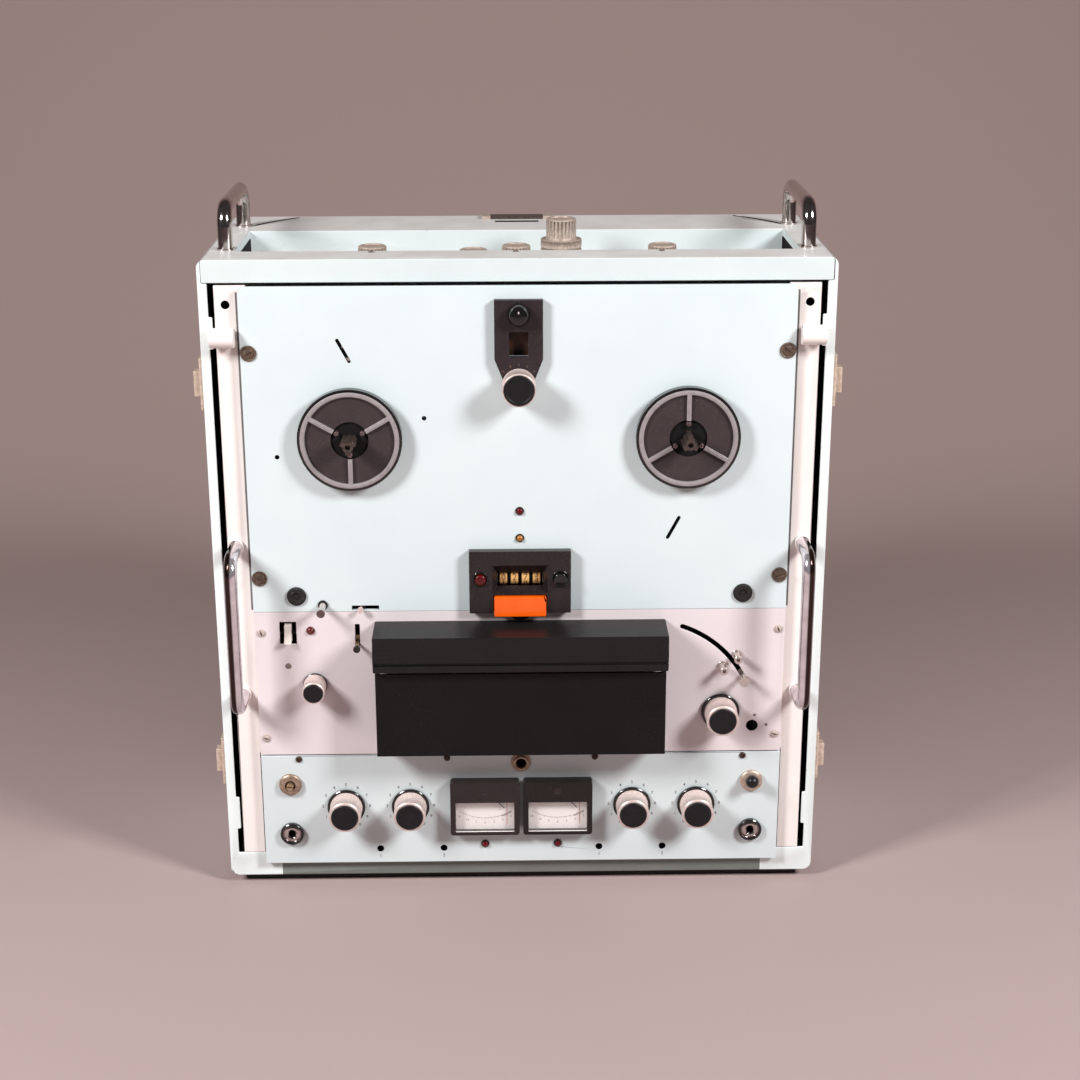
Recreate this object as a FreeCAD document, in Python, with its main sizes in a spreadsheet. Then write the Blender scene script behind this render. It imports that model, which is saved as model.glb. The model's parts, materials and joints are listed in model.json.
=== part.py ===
import FreeCAD, Part
import Sketcher
import math
import os
import re

# Reel-to-reel tape recorder in a sheet-metal carrying case, in millimetres.
# Every piece is drawn in the case's own frame: x to the right, y into the case
# from the plane of its front frame, z up from the underside of the case.
# A shared placement then sets the pieces on their skids around the part's origin.

os.makedirs("parts", exist_ok=True)
doc = FreeCAD.newDocument("tape_recorder")

# Driving dimensions

SIZES = [
    # Case
    ("CaseDepth", 211, "front frame to back wall"),
    ("CaseHeight", 542, "underside to top sheet"),
    ("SideSpace", 12.7, "rack strips from the sides of the case"),
    ("SideWall", 3, "side plates"),
    ("CaseSheet", 2, "front frame, top, bottom and back sheet"),
    ("CornerRound", 7, "outside corners seen from the front"),
    ("SeamGap", 0.3, "gap at seams between fixed panels"),
    ("FrameEdge", 7.6, "width of the front frame at the sides"),
    ("BottomRail", 22, "height of the front frame at the bottom"),
    ("ApronHeight", 19, "height of the apron in front of the top"),
    ("UpperTabDrop", 40, "upper frame tabs below the apron"),
    ("UpperTabLength", 26, "height of an upper frame tab"),
    ("LowerTabHeight", 60, "centre of the lower frame tabs"),
    ("LowerTabLength", 30, "height of a lower frame tab"),
    ("TabGap", 2.2, "tabs from the rack strips"),
    ("BarRadius", 8, "retaining bar across each rack strip"),
    ("BarLength", 19.8, "length of a retaining bar"),
    ("BarSetIn", 8.7, "retaining bar end from the side of the case"),
    ("BarDrop", 2, "middle of a bar below the middle of its tab"),
    ("BackOpeningEdge", 20, "back wall left around the rear opening"),
    ("FrontRail", 37, "top sheet in front of the well"),
    ("WellLength", 97, "well from front to back"),
    ("SideRail", 26, "top sheet beside the well"),
    ("WellDepth", 42, "well below the top sheet"),
    ("WellSheet", 1.5, "well walls and floor"),
    ("WellSlotSetBack", 2, "side slots of the well behind its front wall"),
    ("WellSlotRise", 8, "side slots above the well's floor"),
    ("WellSlotLength", 16, "side slots from front to back"),
    ("WellSlotHeight", 30, "height of the side slots"),
    ("CornerSlotRadius", 142.5, "curve of the slots at the rear corners"),
    ("CornerSlotAcross", 101.3, "curve centre from the middle of the case"),
    ("CornerSlotBack", 94.8, "curve centre behind the front frame"),
    ("CornerSlotWidth", 2.5, "width of the curved slots"),
    ("CornerSlotStart", 27, "start angle of the curved slots"),
    ("CornerSlotSweep", 23, "angle that the curved slots cover"),
    ("RearCoverEdge", 11, "rear cover from the sides of the case"),
    ("RearCoverSheet", 1.5, "thickness of the rear cover"),
    ("VentLength", 60, "length of a cooling slot"),
    ("VentHeight", 3, "height of a cooling slot"),
    ("VentPitch", 12, "spacing of the cooling slots"),
    ("VentRows", 8, "cooling slots in a column"),
    ("VentDrop", 53, "highest cooling slot below the apron"),
    ("VentAcross", 130, "centre of each column of slots from the middle"),
    ("SkidHeight", 8, "rubber skids under the case"),
    ("SkidWidth", 24, "width of a skid"),
    ("SkidEnd", 12, "ends of the skids from the sides of the case"),
    ("SkidInset", 8, "skid from the front and back of the case"),
    ("CatchDrop", 101, "upper lid catches below the top of the case"),
    ("CatchLower", 109, "height of the lower lid catches"),
    ("CatchLength", 43, "length of a lid catch plate"),
    ("CatchWidth", 20, "width of a lid catch plate"),
    ("CatchPlate", 2.5, "thickness of a lid catch plate"),
    ("CatchProud", 7.5, "how far the loop of a catch stands off the side"),
    ("CatchLoop", 21, "length of that loop"),
    # Handles
    ("TopHandleSpan", 114, "leg spacing of the top handles"),
    ("TopHandleFront", 45, "front leg behind the front frame"),
    ("TopHandleInset", 18, "top handles from the sides of the case"),
    ("TopHandleReach", 34, "height of the top handles to the bar's centre"),
    ("TopHandleBar", 6, "radius of the top handle bar"),
    ("TopHandleBend", 15, "bend of the top handle bar"),
    ("TopCollarRim", 1.2, "collar round a top handle leg, beyond the bar"),
    ("TopCollarHeight", 1.5, "height of that collar"),
    ("RackHandleSpan", 132, "leg spacing of the rack handles"),
    ("RackHandleLow", 172, "height of the lower leg"),
    ("RackHandleInset", 7, "rack handles from the outer edges of the strips"),
    ("RackHandleReach", 41, "reach of the rack handles to the bar's centre"),
    ("RackHandleBar", 5.5, "radius of the rack handle bar"),
    ("RackHandleBend", 13, "bend of the rack handle bar"),
    ("FerruleRadius", 6.4, "collar round a rack handle leg"),
    ("FerruleHeight", 3, "height of that collar"),
    # Rack strips and panels
    ("RackWidth", 482.6, "nineteen-inch rack strips, outside to outside"),
    ("StripWidth", 25.3, "width of a rack strip"),
    ("StripThickness", 3, "thickness of a rack strip"),
    ("StripBottom", 22.5, "lower end of the strips"),
    ("StripDrop", 1.5, "upper end of the strips below the apron"),
    ("RackHoleInset", 8.75, "rack holes from the outer edges of the strips"),
    ("RackHoleDrop", 15.5, "rack holes below the upper ends of the strips"),
    ("RackHoleRadius", 3.5, "radius of a rack hole"),
    ("StripShown", 19.3, "what shows of a rack strip beside the panels"),
    ("PanelProud", 6, "panel faces in front of the case frame"),
    ("PanelThickness", 4, "thickness of the panels"),
    ("PanelRound", 6, "upper corners of the deck plate"),
    ("PanelDrop", 1.7, "top of the deck plate below the apron"),
    ("DeckSeam", 247.6, "joint between deck plate and head panel"),
    ("ControlSeam", 117.5, "joint between head panel and control panel"),
    ("ControlGap", 0.9, "extra gap above the control panel"),
    ("ControlSideGap", 1.2, "gap beside the control panel"),
    ("PanelBottom", 14.5, "bottom of the control panel"),
    # Chassis behind the panels
    ("CheekThickness", 2.5, "chassis side cheeks"),
    ("CheekDepth", 176, "depth of the cheeks"),
    ("CheekBottom", 24, "lower edge of the cheeks"),
    ("RailDepth", 10, "depth of the chassis rails"),
    ("RailHeight", 8, "height of the chassis rails"),
    ("ShelfThickness", 2, "chassis shelf under the electronics"),
    ("SubplateBack", 54, "back face of the drive plate behind the panels"),
    ("SubplateThickness", 3, "thickness of that drive plate"),
    ("SubplateLow", 152, "lower edge of the drive plate"),
    ("SubplateHigh", 248, "upper edge of the drive plate"),
    ("CheekWindow", 90, "height of the openings in the cheeks"),
    # Reels
    ("ReelSpacing", 273, "turntable to turntable"),
    ("ReelDrop", 123.5, "turntable centres below the top of the deck plate"),
    ("SkirtRadius", 42.3, "outside of a turntable"),
    ("RimOuter", 40.1, "outside of the light rim"),
    ("RimInner", 36.2, "inside of the light rim"),
    ("TurntableGap", 1.5, "turntable above the deck plate"),
    ("TurntableThickness", 9, "thickness of a turntable"),
    ("TurntableRecess", 2.5, "dish inside the rim"),
    ("SpokeWidth", 3.6, "width of a spoke"),
    ("HubRadius", 15.3, "dark hub disc"),
    ("HubRecess", 1.5, "hub disc below the dish"),
    ("HubPinRadius", 2.1, "locating pins on the hub"),
    ("HubPinCircle", 12.1, "radius of the pin circle"),
    ("SpindleCore", 4.4, "round core of the reel spindle"),
    ("SpindleWing", 6.4, "reach of the spindle's three wings"),
    ("WingWidth", 4, "width of a wing"),
    ("SpindleLength", 21, "spindle above the deck face, to the lock"),
    ("LockLength", 8, "height of the turning lock"),
    ("SpindleShaft", 4, "shaft behind a turntable"),
    ("ShaftLength", 56, "shaft behind the panel"),
    # Motors and capstan drive
    ("SpoolMotorRadius", 40, "reel motor can"),
    ("SpoolMotorLength", 52, "reel motor can"),
    ("MotorFlange", 46, "radius of a reel motor's mounting flange"),
    ("MotorFlangeThickness", 3, "thickness of that flange"),
    ("CapstanAcross", 80, "capstan from the middle"),
    ("CapstanHeight", 200, "capstan above the underside"),
    ("CapstanRadius", 3, "capstan"),
    ("CapstanFront", 34, "capstan in front of the case frame"),
    ("FlywheelRadius", 52, "flywheel"),
    ("FlywheelThickness", 16, "flywheel"),
    ("FlywheelFront", 30, "front face of the flywheel"),
    ("CapstanMotorAcross", 35, "capstan motor left of the middle"),
    ("CapstanMotorRadius", 34, "capstan motor can"),
    ("CapstanMotorLength", 50, "capstan motor can"),
    ("PulleyRadius", 8, "motor pulley"),
    ("BeltThickness", 1.2, "drive belt"),
    ("BeltWidth", 6, "drive belt"),
    ("BeltClearance", 0.15, "belt from the rims it runs on"),
    ("RunningClearance", 0.05, "radial clearance of a shaft in its bearing"),
    ("MovingGap", 0.6, "space left around a moving piece"),
    ("CutDepth", 40, "length of the cutters for the panels"),
    # Speed selector on its shield
    ("ShieldHalf", 19.4, "half the width of the selector shield"),
    ("ShieldDrop", 10.2, "top of the shield below the top of the deck plate"),
    ("ShieldStraight", 48.1, "straight part of the shield"),
    ("ShieldHeight", 80.1, "height of the shield"),
    ("ShieldFootHalf", 6.7, "half its width there"),
    ("ShieldDepth", 6, "thickness of the shield"),
    ("SpeedWindowHalf", 7.6, "half the width of its window"),
    ("SpeedWindowHeight", 20.3, "height of its window"),
    ("SpeedWindowDrop", 25.8, "upper edge of the window below the top of the shield"),
    ("SpeedKnobDrop", 68.75, "speed knob below the top of the shield"),
    ("SpeedKnobRadius", 13.6, "speed knob"),
    ("SpeedKnobCap", 12.4, "cap of the speed knob"),
    ("SpeedKnobLength", 19.3, "speed knob"),
    ("SpeedDiscRadius", 44, "speed disc behind the window"),
    ("SpeedDiscThickness", 1.5, "speed disc"),
    ("DialDrop", 11.6, "spooling dial below the top of the shield"),
    ("DialRadius", 9.2, "spooling dial"),
    ("DialLength", 8, "spooling dial"),
    # Tape counter
    ("BezelHalf", 42, "half the width of the counter bezel"),
    ("BezelLow", 248.3, "lower edge of the bezel"),
    ("BezelHigh", 302.2, "upper edge of the bezel"),
    ("BezelDepth", 8, "thickness of the bezel"),
    ("WindowHalf", 23.5, "half the width of the counter window at its front"),
    ("WindowLow", 264.5, "lower edge of the window at its front"),
    ("WindowHigh", 291.2, "upper edge of the window at its front"),
    ("WindowBackHalf", 18.3, "half the width of the window at its back"),
    ("WindowBackLow", 270.5, "lower edge of the window at its back"),
    ("WindowBackHigh", 280, "upper edge of the window at its back"),
    ("DrumHeight", 276.5, "axle of the digit drums"),
    ("DrumRadius", 9, "digit drum"),
    ("DrumWidth", 8.2, "digit drum"),
    ("DrumPitch", 9.1, "spacing of the drums"),
    ("DrumBehind", 4.2, "drum axle behind the case frame"),
    ("CounterCheek", 1.8, "cheeks that hold the axle of the drums"),
    ("CheekHalf", 4, "half the height of those cheeks"),
    ("AxleRadius", 1.5, "axle of the drums"),
    ("RecordAcross", 32.8, "record button left of the middle"),
    ("RecordRadius", 4.6, "record button"),
    ("ResetAcross", 33.4, "reset button right of the middle"),
    ("ResetRadius", 5.8, "reset button"),
    ("ButtonHeight", 278, "both buttons"),
    ("ButtonProud", 3.5, "buttons above the bezel"),
    ("ButtonTravel", 2.5, "travel of the buttons"),
    ("KeyHalf", 21.6, "half the width of the pause key"),
    ("KeyLow", 246.2, "lower edge of the key"),
    ("KeyHigh", 263.6, "upper edge of the key"),
    ("KeyProud", 4, "key above the bezel"),
    ("KeyPocket", 6, "depth of the key's pocket"),
    ("KeyLug", 11.7, "radius of the lug under the key"),
    ("KeyLugHeight", 251.35, "centre of that lug"),
    ("KeyPlay", 2.4, "key from the floor of its pocket"),
    ("KeyRound", 1.5, "corners of the key"),
    # Lamps, plugs and posts
    ("RedLampHeight", 334.7, "upper deck lamp"),
    ("AmberLampHeight", 311.4, "lower deck lamp"),
    ("LampRadius", 3.4, "lamp domes"),
    ("MainsLampAcross", 175.2, "mains lamp left of the middle"),
    ("MainsLampHeight", 231.1, "mains lamp"),
    ("RecordLampAcross", 31.5, "record lamps from the middle"),
    ("RecordLampHeight", 31.6, "record lamps"),
    ("PlugAcross", 185.5, "rubber plugs from the middle"),
    ("PlugHeight", 262, "rubber plugs"),
    ("PostRadius", 3, "tape guide posts"),
    ("PostFlange", 4.2, "base flanges of the posts"),
    ("PostCap", 3.5, "caps of the posts"),
    ("PostLength", 14, "posts above the panel"),
    ("LeftPostLength", 22, "left post above the panel"),
    ("PostFoot", 1.6, "thickness of the flanges and caps"),
    ("LeftPostAcross", 164, "left guide post left of the middle"),
    ("LeftPostHeight", 254, "left guide post"),
    ("InnerPostAcross", 170.6, "inner right post from the middle"),
    ("InnerPostHeight", 196.7, "inner right post"),
    ("OuterPostAcross", 182, "outer right post from the middle"),
    ("OuterPostHeight", 206.8, "outer right post"),
    # Screws
    ("DeckScrewInset", 6.6, "deck plate screws from the edges of the plate"),
    ("DeckScrewDrop", 53.3, "upper deck plate screws below the top of the plate"),
    ("DeckScrewLower", 277.5, "lower deck plate screws"),
    ("DeckScrewHead", 6.6, "head radius of the deck screws"),
    ("HeadScrewInset", 5.6, "head panel screws from the edges of the panel"),
    ("HeadScrewUpper", 229.5, "upper head panel screws"),
    ("HeadScrewLower", 133.6, "lower head panel screws"),
    ("HeadScrewHead", 3.6, "head radius of the head panel screws"),
    ("ControlScrewOuter", 189.8, "outer control panel screws from the middle"),
    ("ControlScrewInner", 63.3, "inner control panel screws from the middle"),
    ("ControlScrewHeight", 113.4, "control panel screws"),
    ("ControlScrewHead", 2.8, "head radius of the control panel screws"),
    ("ScrewShank", 2.4, "radius of the screw shanks"),
    ("ScrewHole", 2.6, "radius of the screw holes"),
    ("ScrewHeadHeight", 2, "height of the screw heads"),
    # Holes that go right through the panels
    ("SlotHalf", 2, "half the width of the panel slots"),
    ("UpperSlotAcross", 140, "upper deck slot left of the middle"),
    ("UpperSlotDrop", 51.8, "upper deck slot below the top of the plate"),
    ("LowerSlotAcross", 126.4, "lower deck slot right of the middle"),
    ("LowerSlotHeight", 319.4, "lower deck slot"),
    ("DeckSlotLength", 22, "length of the two deck slots"),
    ("DeckSlotHalf", 1.4, "half the width of the two deck slots"),
    ("DeckSlotTilt", 28, "tilt of the two deck slots"),
    ("PinholeRadius", 1.9, "small round holes"),
    ("DotLeftAcross", 196.3, "left small hole left of the middle"),
    ("DotLeftHeight", 381.8, "left small hole"),
    ("DotRightAcross", 76.6, "right small hole left of the middle"),
    ("DotRightHeight", 413.6, "right small hole"),
    ("TrimHoleRadius", 3, "preset holes in the control panel"),
    ("TrimOuter", 122.4, "outer preset holes from the middle"),
    ("TrimInner", 67.4, "inner preset holes from the middle"),
    ("TrimHeight", 27.6, "preset holes"),
    ("KeyholeAcross", 197, "round hole right of the transport knob"),
    ("KeyholeHeight", 141.2, "that hole"),
    ("KeyholeRadius", 5, "that hole"),
    # Left levers
    ("FeelerSlotLeft", 140, "left end of the feeler slot"),
    ("FeelerSlotRight", 117.4, "right end of the feeler slot"),
    ("FeelerHeight", 251, "feeler slot"),
    ("FeelerAcross", 132.5, "feeler pin at rest"),
    ("FeelerArm", 52, "pivot of the feeler to its pin"),
    ("FeelerPin", 1.2, "radius of the feeler pin"),
    ("SwitchSlotAcross", 136.1, "tape switch slot left of the middle"),
    ("SwitchSlotLow", 217.5, "lower end of the tape switch slot"),
    ("SwitchSlotHigh", 236.5, "upper end of the tape switch slot"),
    ("SwitchPin", 1.4, "radius of the tape switch pin"),
    ("LeverPinProud", 12, "tape switch pin above the panel"),
    ("FeelerProud", 4.5, "feeler pin above the panel"),
    # Rocker switch
    ("RockerAcross", 194, "mains switch left of the middle"),
    ("RockerHeight", 229.2, "mains switch"),
    ("RockerOpening", 14, "width of its opening"),
    ("RockerOpeningHeight", 19.4, "height of its opening"),
    ("RockerWidth", 6, "width of the rocker"),
    ("RockerLength", 15.5, "height of the rocker"),
    ("RockerLow", 7.5, "lower end of the rocker above the panel"),
    ("RockerMiddle", 2.5, "middle of the rocker above the panel"),
    ("RockerHigh", 1, "upper end of the rocker above the panel"),
    # Function and transport knobs
    ("FunctionAcross", 173, "function knob left of the middle"),
    ("FunctionHeight", 183, "function knob"),
    ("FunctionRing", 10.2, "base ring of the function knob"),
    ("FunctionSleeve", 9.4, "sleeve of the function knob"),
    ("FunctionCap", 8.2, "cap of the function knob"),
    ("FunctionLength", 21.5, "function knob"),
    ("TransportAcross", 169.6, "transport knob right of the middle"),
    ("TransportHeight", 155, "transport knob"),
    ("TransportRing", 16.2, "base ring of the transport knob"),
    ("TransportSleeve", 13.6, "sleeve of the transport knob"),
    ("TransportCap", 11.5, "cap of the transport knob"),
    ("TransportLength", 23, "transport knob"),
    ("ShaftRadius", 3, "shafts of the knobs"),
    ("ShaftTail", 14, "knob shafts behind the case frame"),
    ("ShaftHole", 4, "holes for the knob shafts"),
    ("ControlRadius", 12, "cans of switches and potentiometers"),
    ("ControlLength", 18, "cans of switches and potentiometers"),
    # Right tension arm
    ("ArmPivotAcross", 104.4, "pivot of the tension arm right of the middle"),
    ("ArmPivotHeight", 143.3, "pivot of the tension arm"),
    ("ArmRadius", 94.2, "pivot to the middle of the curved slot"),
    ("ArmSlotStart", 22.5, "lower end of the curved slot, as an angle"),
    ("ArmSlotSweep", 48, "angle that the slot covers"),
    ("ArmAngle", 28, "angle of the arm at rest"),
    ("ArmWidth", 8, "width of the arm"),
    ("ArmThickness", 2.5, "thickness of the arm"),
    ("ArmPivotPin", 2.5, "pivot pin of the arm"),
    ("ArmRollerRadius", 2.2, "roller on the arm"),
    ("ArmRollerCap", 4.2, "cap of the roller"),
    # Head block and covers
    ("CoverHalf", 121.5, "half the width of the head cover"),
    ("CoverLow", 208, "lower edge of the head cover"),
    ("CoverHigh", 239, "upper edge of the head cover"),
    ("CoverDepth", 40, "head cover in front of the panel"),
    ("CoverWall", 2.5, "walls of the covers"),
    ("CoverStep", 7, "height of the lip along the cover's lower edge"),
    ("FlapHalf", 120.5, "half the width of the hinged flap"),
    ("FlapLow", 130, "lower edge of the flap"),
    ("FlapHigh", 204, "upper edge of the flap"),
    ("FlapDepth", 32, "flap in front of the panel"),
    ("FlapSideDepth", 27, "depth of the flap's side walls"),
    ("FlapHingeUp", 2.5, "flap hinge above its lower edge"),
    ("FlapHingeBack", 5, "flap hinge behind its face"),
    ("HingePin", 1.5, "flap hinge pins"),
    ("EarThickness", 3.5, "ears that carry the flap"),
    ("HeadPlateThickness", 6, "plate that carries the heads"),
    ("HeadPlateHalf", 112, "half its width"),
    ("HeadPlateLow", 150, "its lower edge"),
    ("HeadPlateHigh", 198, "its upper edge"),
    ("HeadWidth", 17, "tape heads"),
    ("HeadTop", 202, "working faces of the heads"),
    ("HeadLength", 24, "heights of the heads"),
    ("HeadDepth", 15, "heads from front to back"),
    ("HeadSpacing", 42, "head to head"),
    ("PinchRadius", 10, "pinch roller"),
    ("PinchLength", 16, "pinch roller"),
    ("PinchLift", 5, "pinch roller above the capstan at rest"),
    ("PinchPivotAcross", 42, "pinch arm pivot right of the middle"),
    ("PinchPivotHeight", 226, "pinch arm pivot"),
    ("PinchArmWidth", 8, "width of the pinch arm"),
    ("PinchArmThickness", 3, "thickness of the pinch arm"),
    # Control panel
    ("GainOuter", 150.6, "outer gain knobs from the middle"),
    ("GainInner", 95.4, "inner gain knobs from the middle"),
    ("GainHeight", 68.7, "gain knobs"),
    ("GainRing", 16.2, "skirt of a gain knob"),
    ("GainSleeve", 13.6, "sleeve of a gain knob"),
    ("GainCap", 11.5, "cap of a gain knob"),
    ("GainLength", 23, "gain knob"),
    ("SkirtHeight", 2.5, "height of the knobs' skirts"),
    ("CapProud", 1.2, "caps above the sleeves"),
    ("ToggleAcross", 197.8, "toggle and preset spindle from the middle"),
    ("ToggleHeight", 90.3, "toggle and preset spindle"),
    ("NutRadius", 9.6, "bronze nuts"),
    ("NutHeight", 4, "bronze nuts"),
    ("ToggleHole", 4.6, "hole in the toggle's nut"),
    ("ToggleLever", 1.9, "toggle lever"),
    ("ToggleBall", 5.6, "ball of the toggle lever"),
    ("ToggleReach", 16.5, "length of the toggle lever to its ball"),
    ("ToggleTilt", 10, "toggle lever above the level at rest"),
    ("ToggleRoot", 3.1, "ball joint of the toggle lever"),
    ("BalanceHeight", 109, "bushing above the meters"),
    ("BalanceRadius", 8.6, "bushing above the meters"),
    ("JackAcross", 198.2, "monitor jacks from the middle"),
    ("JackHeight", 43.7, "monitor jacks"),
    ("JackRing", 10, "outer ring of a jack"),
    ("JackBarrel", 8, "barrel of a jack"),
    ("JackBore", 3.2, "bore of a jack"),
    ("JackLength", 30, "bore length of a jack"),
    ("JackProud", 4, "jack ring above the panel"),
    ("MeterInner", 1.6, "meters from the middle"),
    ("MeterWidth", 59.4, "width of a meter"),
    ("MeterLow", 44.4, "lower edge of the meters"),
    ("MeterHigh", 94.6, "upper edge of the meters"),
    ("MeterDepth", 10, "meters in front of the panel"),
    ("MeterRound", 2.5, "corners of a meter"),
    ("GlassHalf", 25.2, "half the width of a meter window"),
    ("GlassLow", 47.6, "lower edge of the window"),
    ("GlassHigh", 75.2, "upper edge of the window"),
    ("MeterFaceWall", 2.5, "front wall of a meter"),
    ("MeterFaceRoom", 4.5, "depth of the space for the needle"),
    ("NeedlePivot", 85.8, "height of the needle pivot"),
    ("NeedleLength", 24.2, "needle"),
    ("NeedleWidth", 0.8, "needle"),
    ("NeedleAngle", 47, "needle below the horizontal at rest"),
    ("NeedleHub", 2.2, "hub of the needle"),
    ("MeterRoomAbove", 4, "space above the needle pivot"),
    ("MeterRoomEdge", 1, "space beyond the window's edges"),
    ("MeterCan", 22, "meter movement behind the panel"),
    ("MeterCanLength", 22, "meter movement behind the panel"),
    # Well connectors
    ("InletAcross", 36.3, "mains connector right of the middle"),
    ("InletBack", 85, "connectors behind the front frame"),
    ("InletRise", 18, "top of the mains connector above the case"),
    ("InletCap", 12.4, "grip of the mains connector"),
    ("InletCollar", 17, "collar of the mains connector"),
    ("InletFoot", 4, "height of the mains connector's foot"),
    ("InletCollarHeight", 8, "height of its collar"),
    ("InletGrip", 18, "height of its grip above the collar's edge"),
    ("SocketCap", 11.8, "socket caps"),
    ("SocketLow", 4, "tops of the socket caps below the top of the case"),
    ("SocketDrop", 3.5, "inner left socket cap below the others"),
    ("SocketAcross", 120.5, "outer socket caps from the middle"),
    ("SocketInner", 36.7, "inner socket cap left of the middle"),
    ("SocketMiddle", 1, "middle socket cap left of the middle"),
    ("SocketRim", 2, "barrel of a socket inside its cap"),
    ("SocketRing", 6, "height of a socket's foot ring"),
    ("SocketCapHeight", 14, "height of a socket cap"),
    # Electronics
    ("TransformerWidth", 90, "mains transformer"),
    ("TransformerDepth", 75, "mains transformer"),
    ("TransformerHeight", 82, "mains transformer"),
    ("BoardThickness", 1.6, "circuit boards"),
    ("BoardDepth", 120, "circuit boards"),
    ("BoardHeight", 110, "circuit boards"),
    ("BoardFront", 50, "front edges of the boards"),
    ("BoardPitch", 30, "spacing of the boards"),
]

sheet = doc.addObject("Spreadsheet::Sheet", "Sizes")
for row, (size_name, size_value, size_note) in enumerate(SIZES, start=1):
    sheet.set(f"A{row}", size_name)
    sheet.set(f"B{row}", str(size_value))
    sheet.set(f"C{row}", size_note)
    sheet.setAlias(f"B{row}", size_name)
doc.recompute()

# Lengths that follow from the driving dimensions

DERIVED = {
    "CaseWidth": "(RackWidth + 2 * SideSpace)",
    "StripInner": "(RackWidth - 2 * StripWidth)",
    "PanelWidth": "(RackWidth - 2 * StripShown)",
    "RackHoleSpacing": "(RackWidth - 2 * RackHoleInset)",
    "RackHandleAcross": "(RackWidth / 2 - RackHandleInset)",
    "TopHandleAcross": "(CaseWidth / 2 - TopHandleInset)",
    "WellWidth": "(CaseWidth - 2 * SideRail)",
    "SkidLength": "(CaseWidth - 2 * SkidEnd)",
    "DeckScrewAcross": "(PanelWidth / 2 - DeckScrewInset)",
    "HeadScrewAcross": "(PanelWidth / 2 - HeadScrewInset)",
    "StripTop": "(ApronLow - StripDrop)",
    "RackHoleHeight": "(StripTop - RackHoleDrop)",
    "UpperTabHeight": "(ApronLow - UpperTabDrop)",
    "CatchUpper": "(CaseHeight - CatchDrop)",
    "VentTop": "(ApronLow - VentDrop)",
    "InletTop": "(CaseHeight + InletRise)",
    "SocketTop": "(CaseHeight - SocketLow)",
    "PanelTop": "(ApronLow - PanelDrop)",
    "ReelHeight": "(PanelTop - ReelDrop)",
    "DeckScrewUpper": "(PanelTop - DeckScrewDrop)",
    "UpperSlotHeight": "(PanelTop - UpperSlotDrop)",
    "ShieldTop": "(PanelTop - ShieldDrop)",
    "ShieldShoulder": "(ShieldTop - ShieldStraight)",
    "ShieldFoot": "(ShieldTop - ShieldHeight)",
    "SpeedWindowHigh": "(ShieldTop - SpeedWindowDrop)",
    "SpeedWindowLow": "(SpeedWindowHigh - SpeedWindowHeight)",
    "SpeedKnobHeight": "(ShieldTop - SpeedKnobDrop)",
    "DialHeight": "(ShieldTop - DialDrop)",
    "ControlTop": "(ControlSeam - ControlGap)",
    "CutFront": "(-PanelProud - CutDepth / 2)",
    "SideIn": "(CaseWidth / 2 - SideWall)",
    "FrameIn": "(CaseWidth / 2 - FrameEdge)",
    "ApronLow": "(CaseHeight - ApronHeight)",
    "WellFloor": "(CaseHeight - WellDepth)",
    "Face": "(-PanelProud)",
    "PanelBack": "(PanelThickness - PanelProud)",
    "ReelAcross": "(ReelSpacing / 2)",
    "TurntableBack": "(-PanelProud - TurntableGap)",
    "TurntableFront": "(-PanelProud - TurntableGap - TurntableThickness)",
    "SpindleTip": "(-PanelProud - SpindleLength)",
    "ShieldFace": "(-PanelProud - ShieldDepth)",
    "BezelFace": "(-PanelProud - BezelDepth)",
    "CoverFace": "(-PanelProud - CoverDepth)",
    "FlapFace": "(-PanelProud - FlapDepth)",
    "FlapHingeHeight": "(FlapLow + FlapHingeUp)",
    "FlapHingeY": "(-PanelProud - FlapDepth + FlapHingeBack)",
    "SubplateFront": "(SubplateBack - SubplateThickness)",
    "MeterFace": "(-PanelProud - MeterDepth)",
    "MeterAcross": "(MeterInner + MeterWidth / 2)",
    "CheekOut": "(StripInner / 2)",
    "CheekIn": "(StripInner / 2 - CheekThickness)",
    "PinchAcross": "CapstanAcross",
    "PinchHeight": "(CapstanHeight + CapstanRadius + PinchRadius + PinchLift)",
    "CanBack": "(PanelThickness - PanelProud + ControlLength)",
    "FrontPlane": "(-(CaseDepth + RearCoverSheet - RackHandleReach - RackHandleBar) / 2)",
}
ALIASES = {entry[0] for entry in SIZES}
WORD = re.compile(r"[A-Za-z_]\w*")


def expand(text):
    """Write derived lengths out in driving dimensions."""
    def swap(match):
        word = match.group(0)
        return expand(DERIVED[word]) if word in DERIVED else word
    return WORD.sub(swap, str(text))


def formula(text):
    """Turn a length in words into an expression on the sheet."""
    def swap(match):
        word = match.group(0)
        return "Sizes." + word if word in ALIASES else word
    return WORD.sub(swap, expand(text))


def number(text):
    """Work a length in words out from the sheet, for a sketch's first position."""
    def swap(match):
        word = match.group(0)
        return str(float(sheet.get(word))) if word in ALIASES else word
    written = WORD.sub(swap, expand(text))
    probe.set("A1", "=" + written)
    probe.recompute()
    return float(probe.get("A1"))


probe = doc.addObject("Spreadsheet::Sheet", "Scratch")

FRONT = FreeCAD.Rotation(FreeCAD.Vector(1, 0, 0), 90)
BACK = FreeCAD.Rotation(FreeCAD.Vector(1, 0, 0), -90)
RIGHT = FreeCAD.Rotation(FreeCAD.Vector(0, 1, 0), 90)
UP = FreeCAD.Rotation()


def bind(item, **expressions):
    """Tie properties of an object to lengths in words."""
    for prop, text in expressions.items():
        item.setExpression(prop, formula(text))
    return item


def put(item, x, y, z):
    """Tie an object's position to lengths in words."""
    for axis, text in (("x", x), ("y", y), ("z", z)):
        item.setExpression(f"Placement.Base.{axis}", formula(text))
    return item


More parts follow.
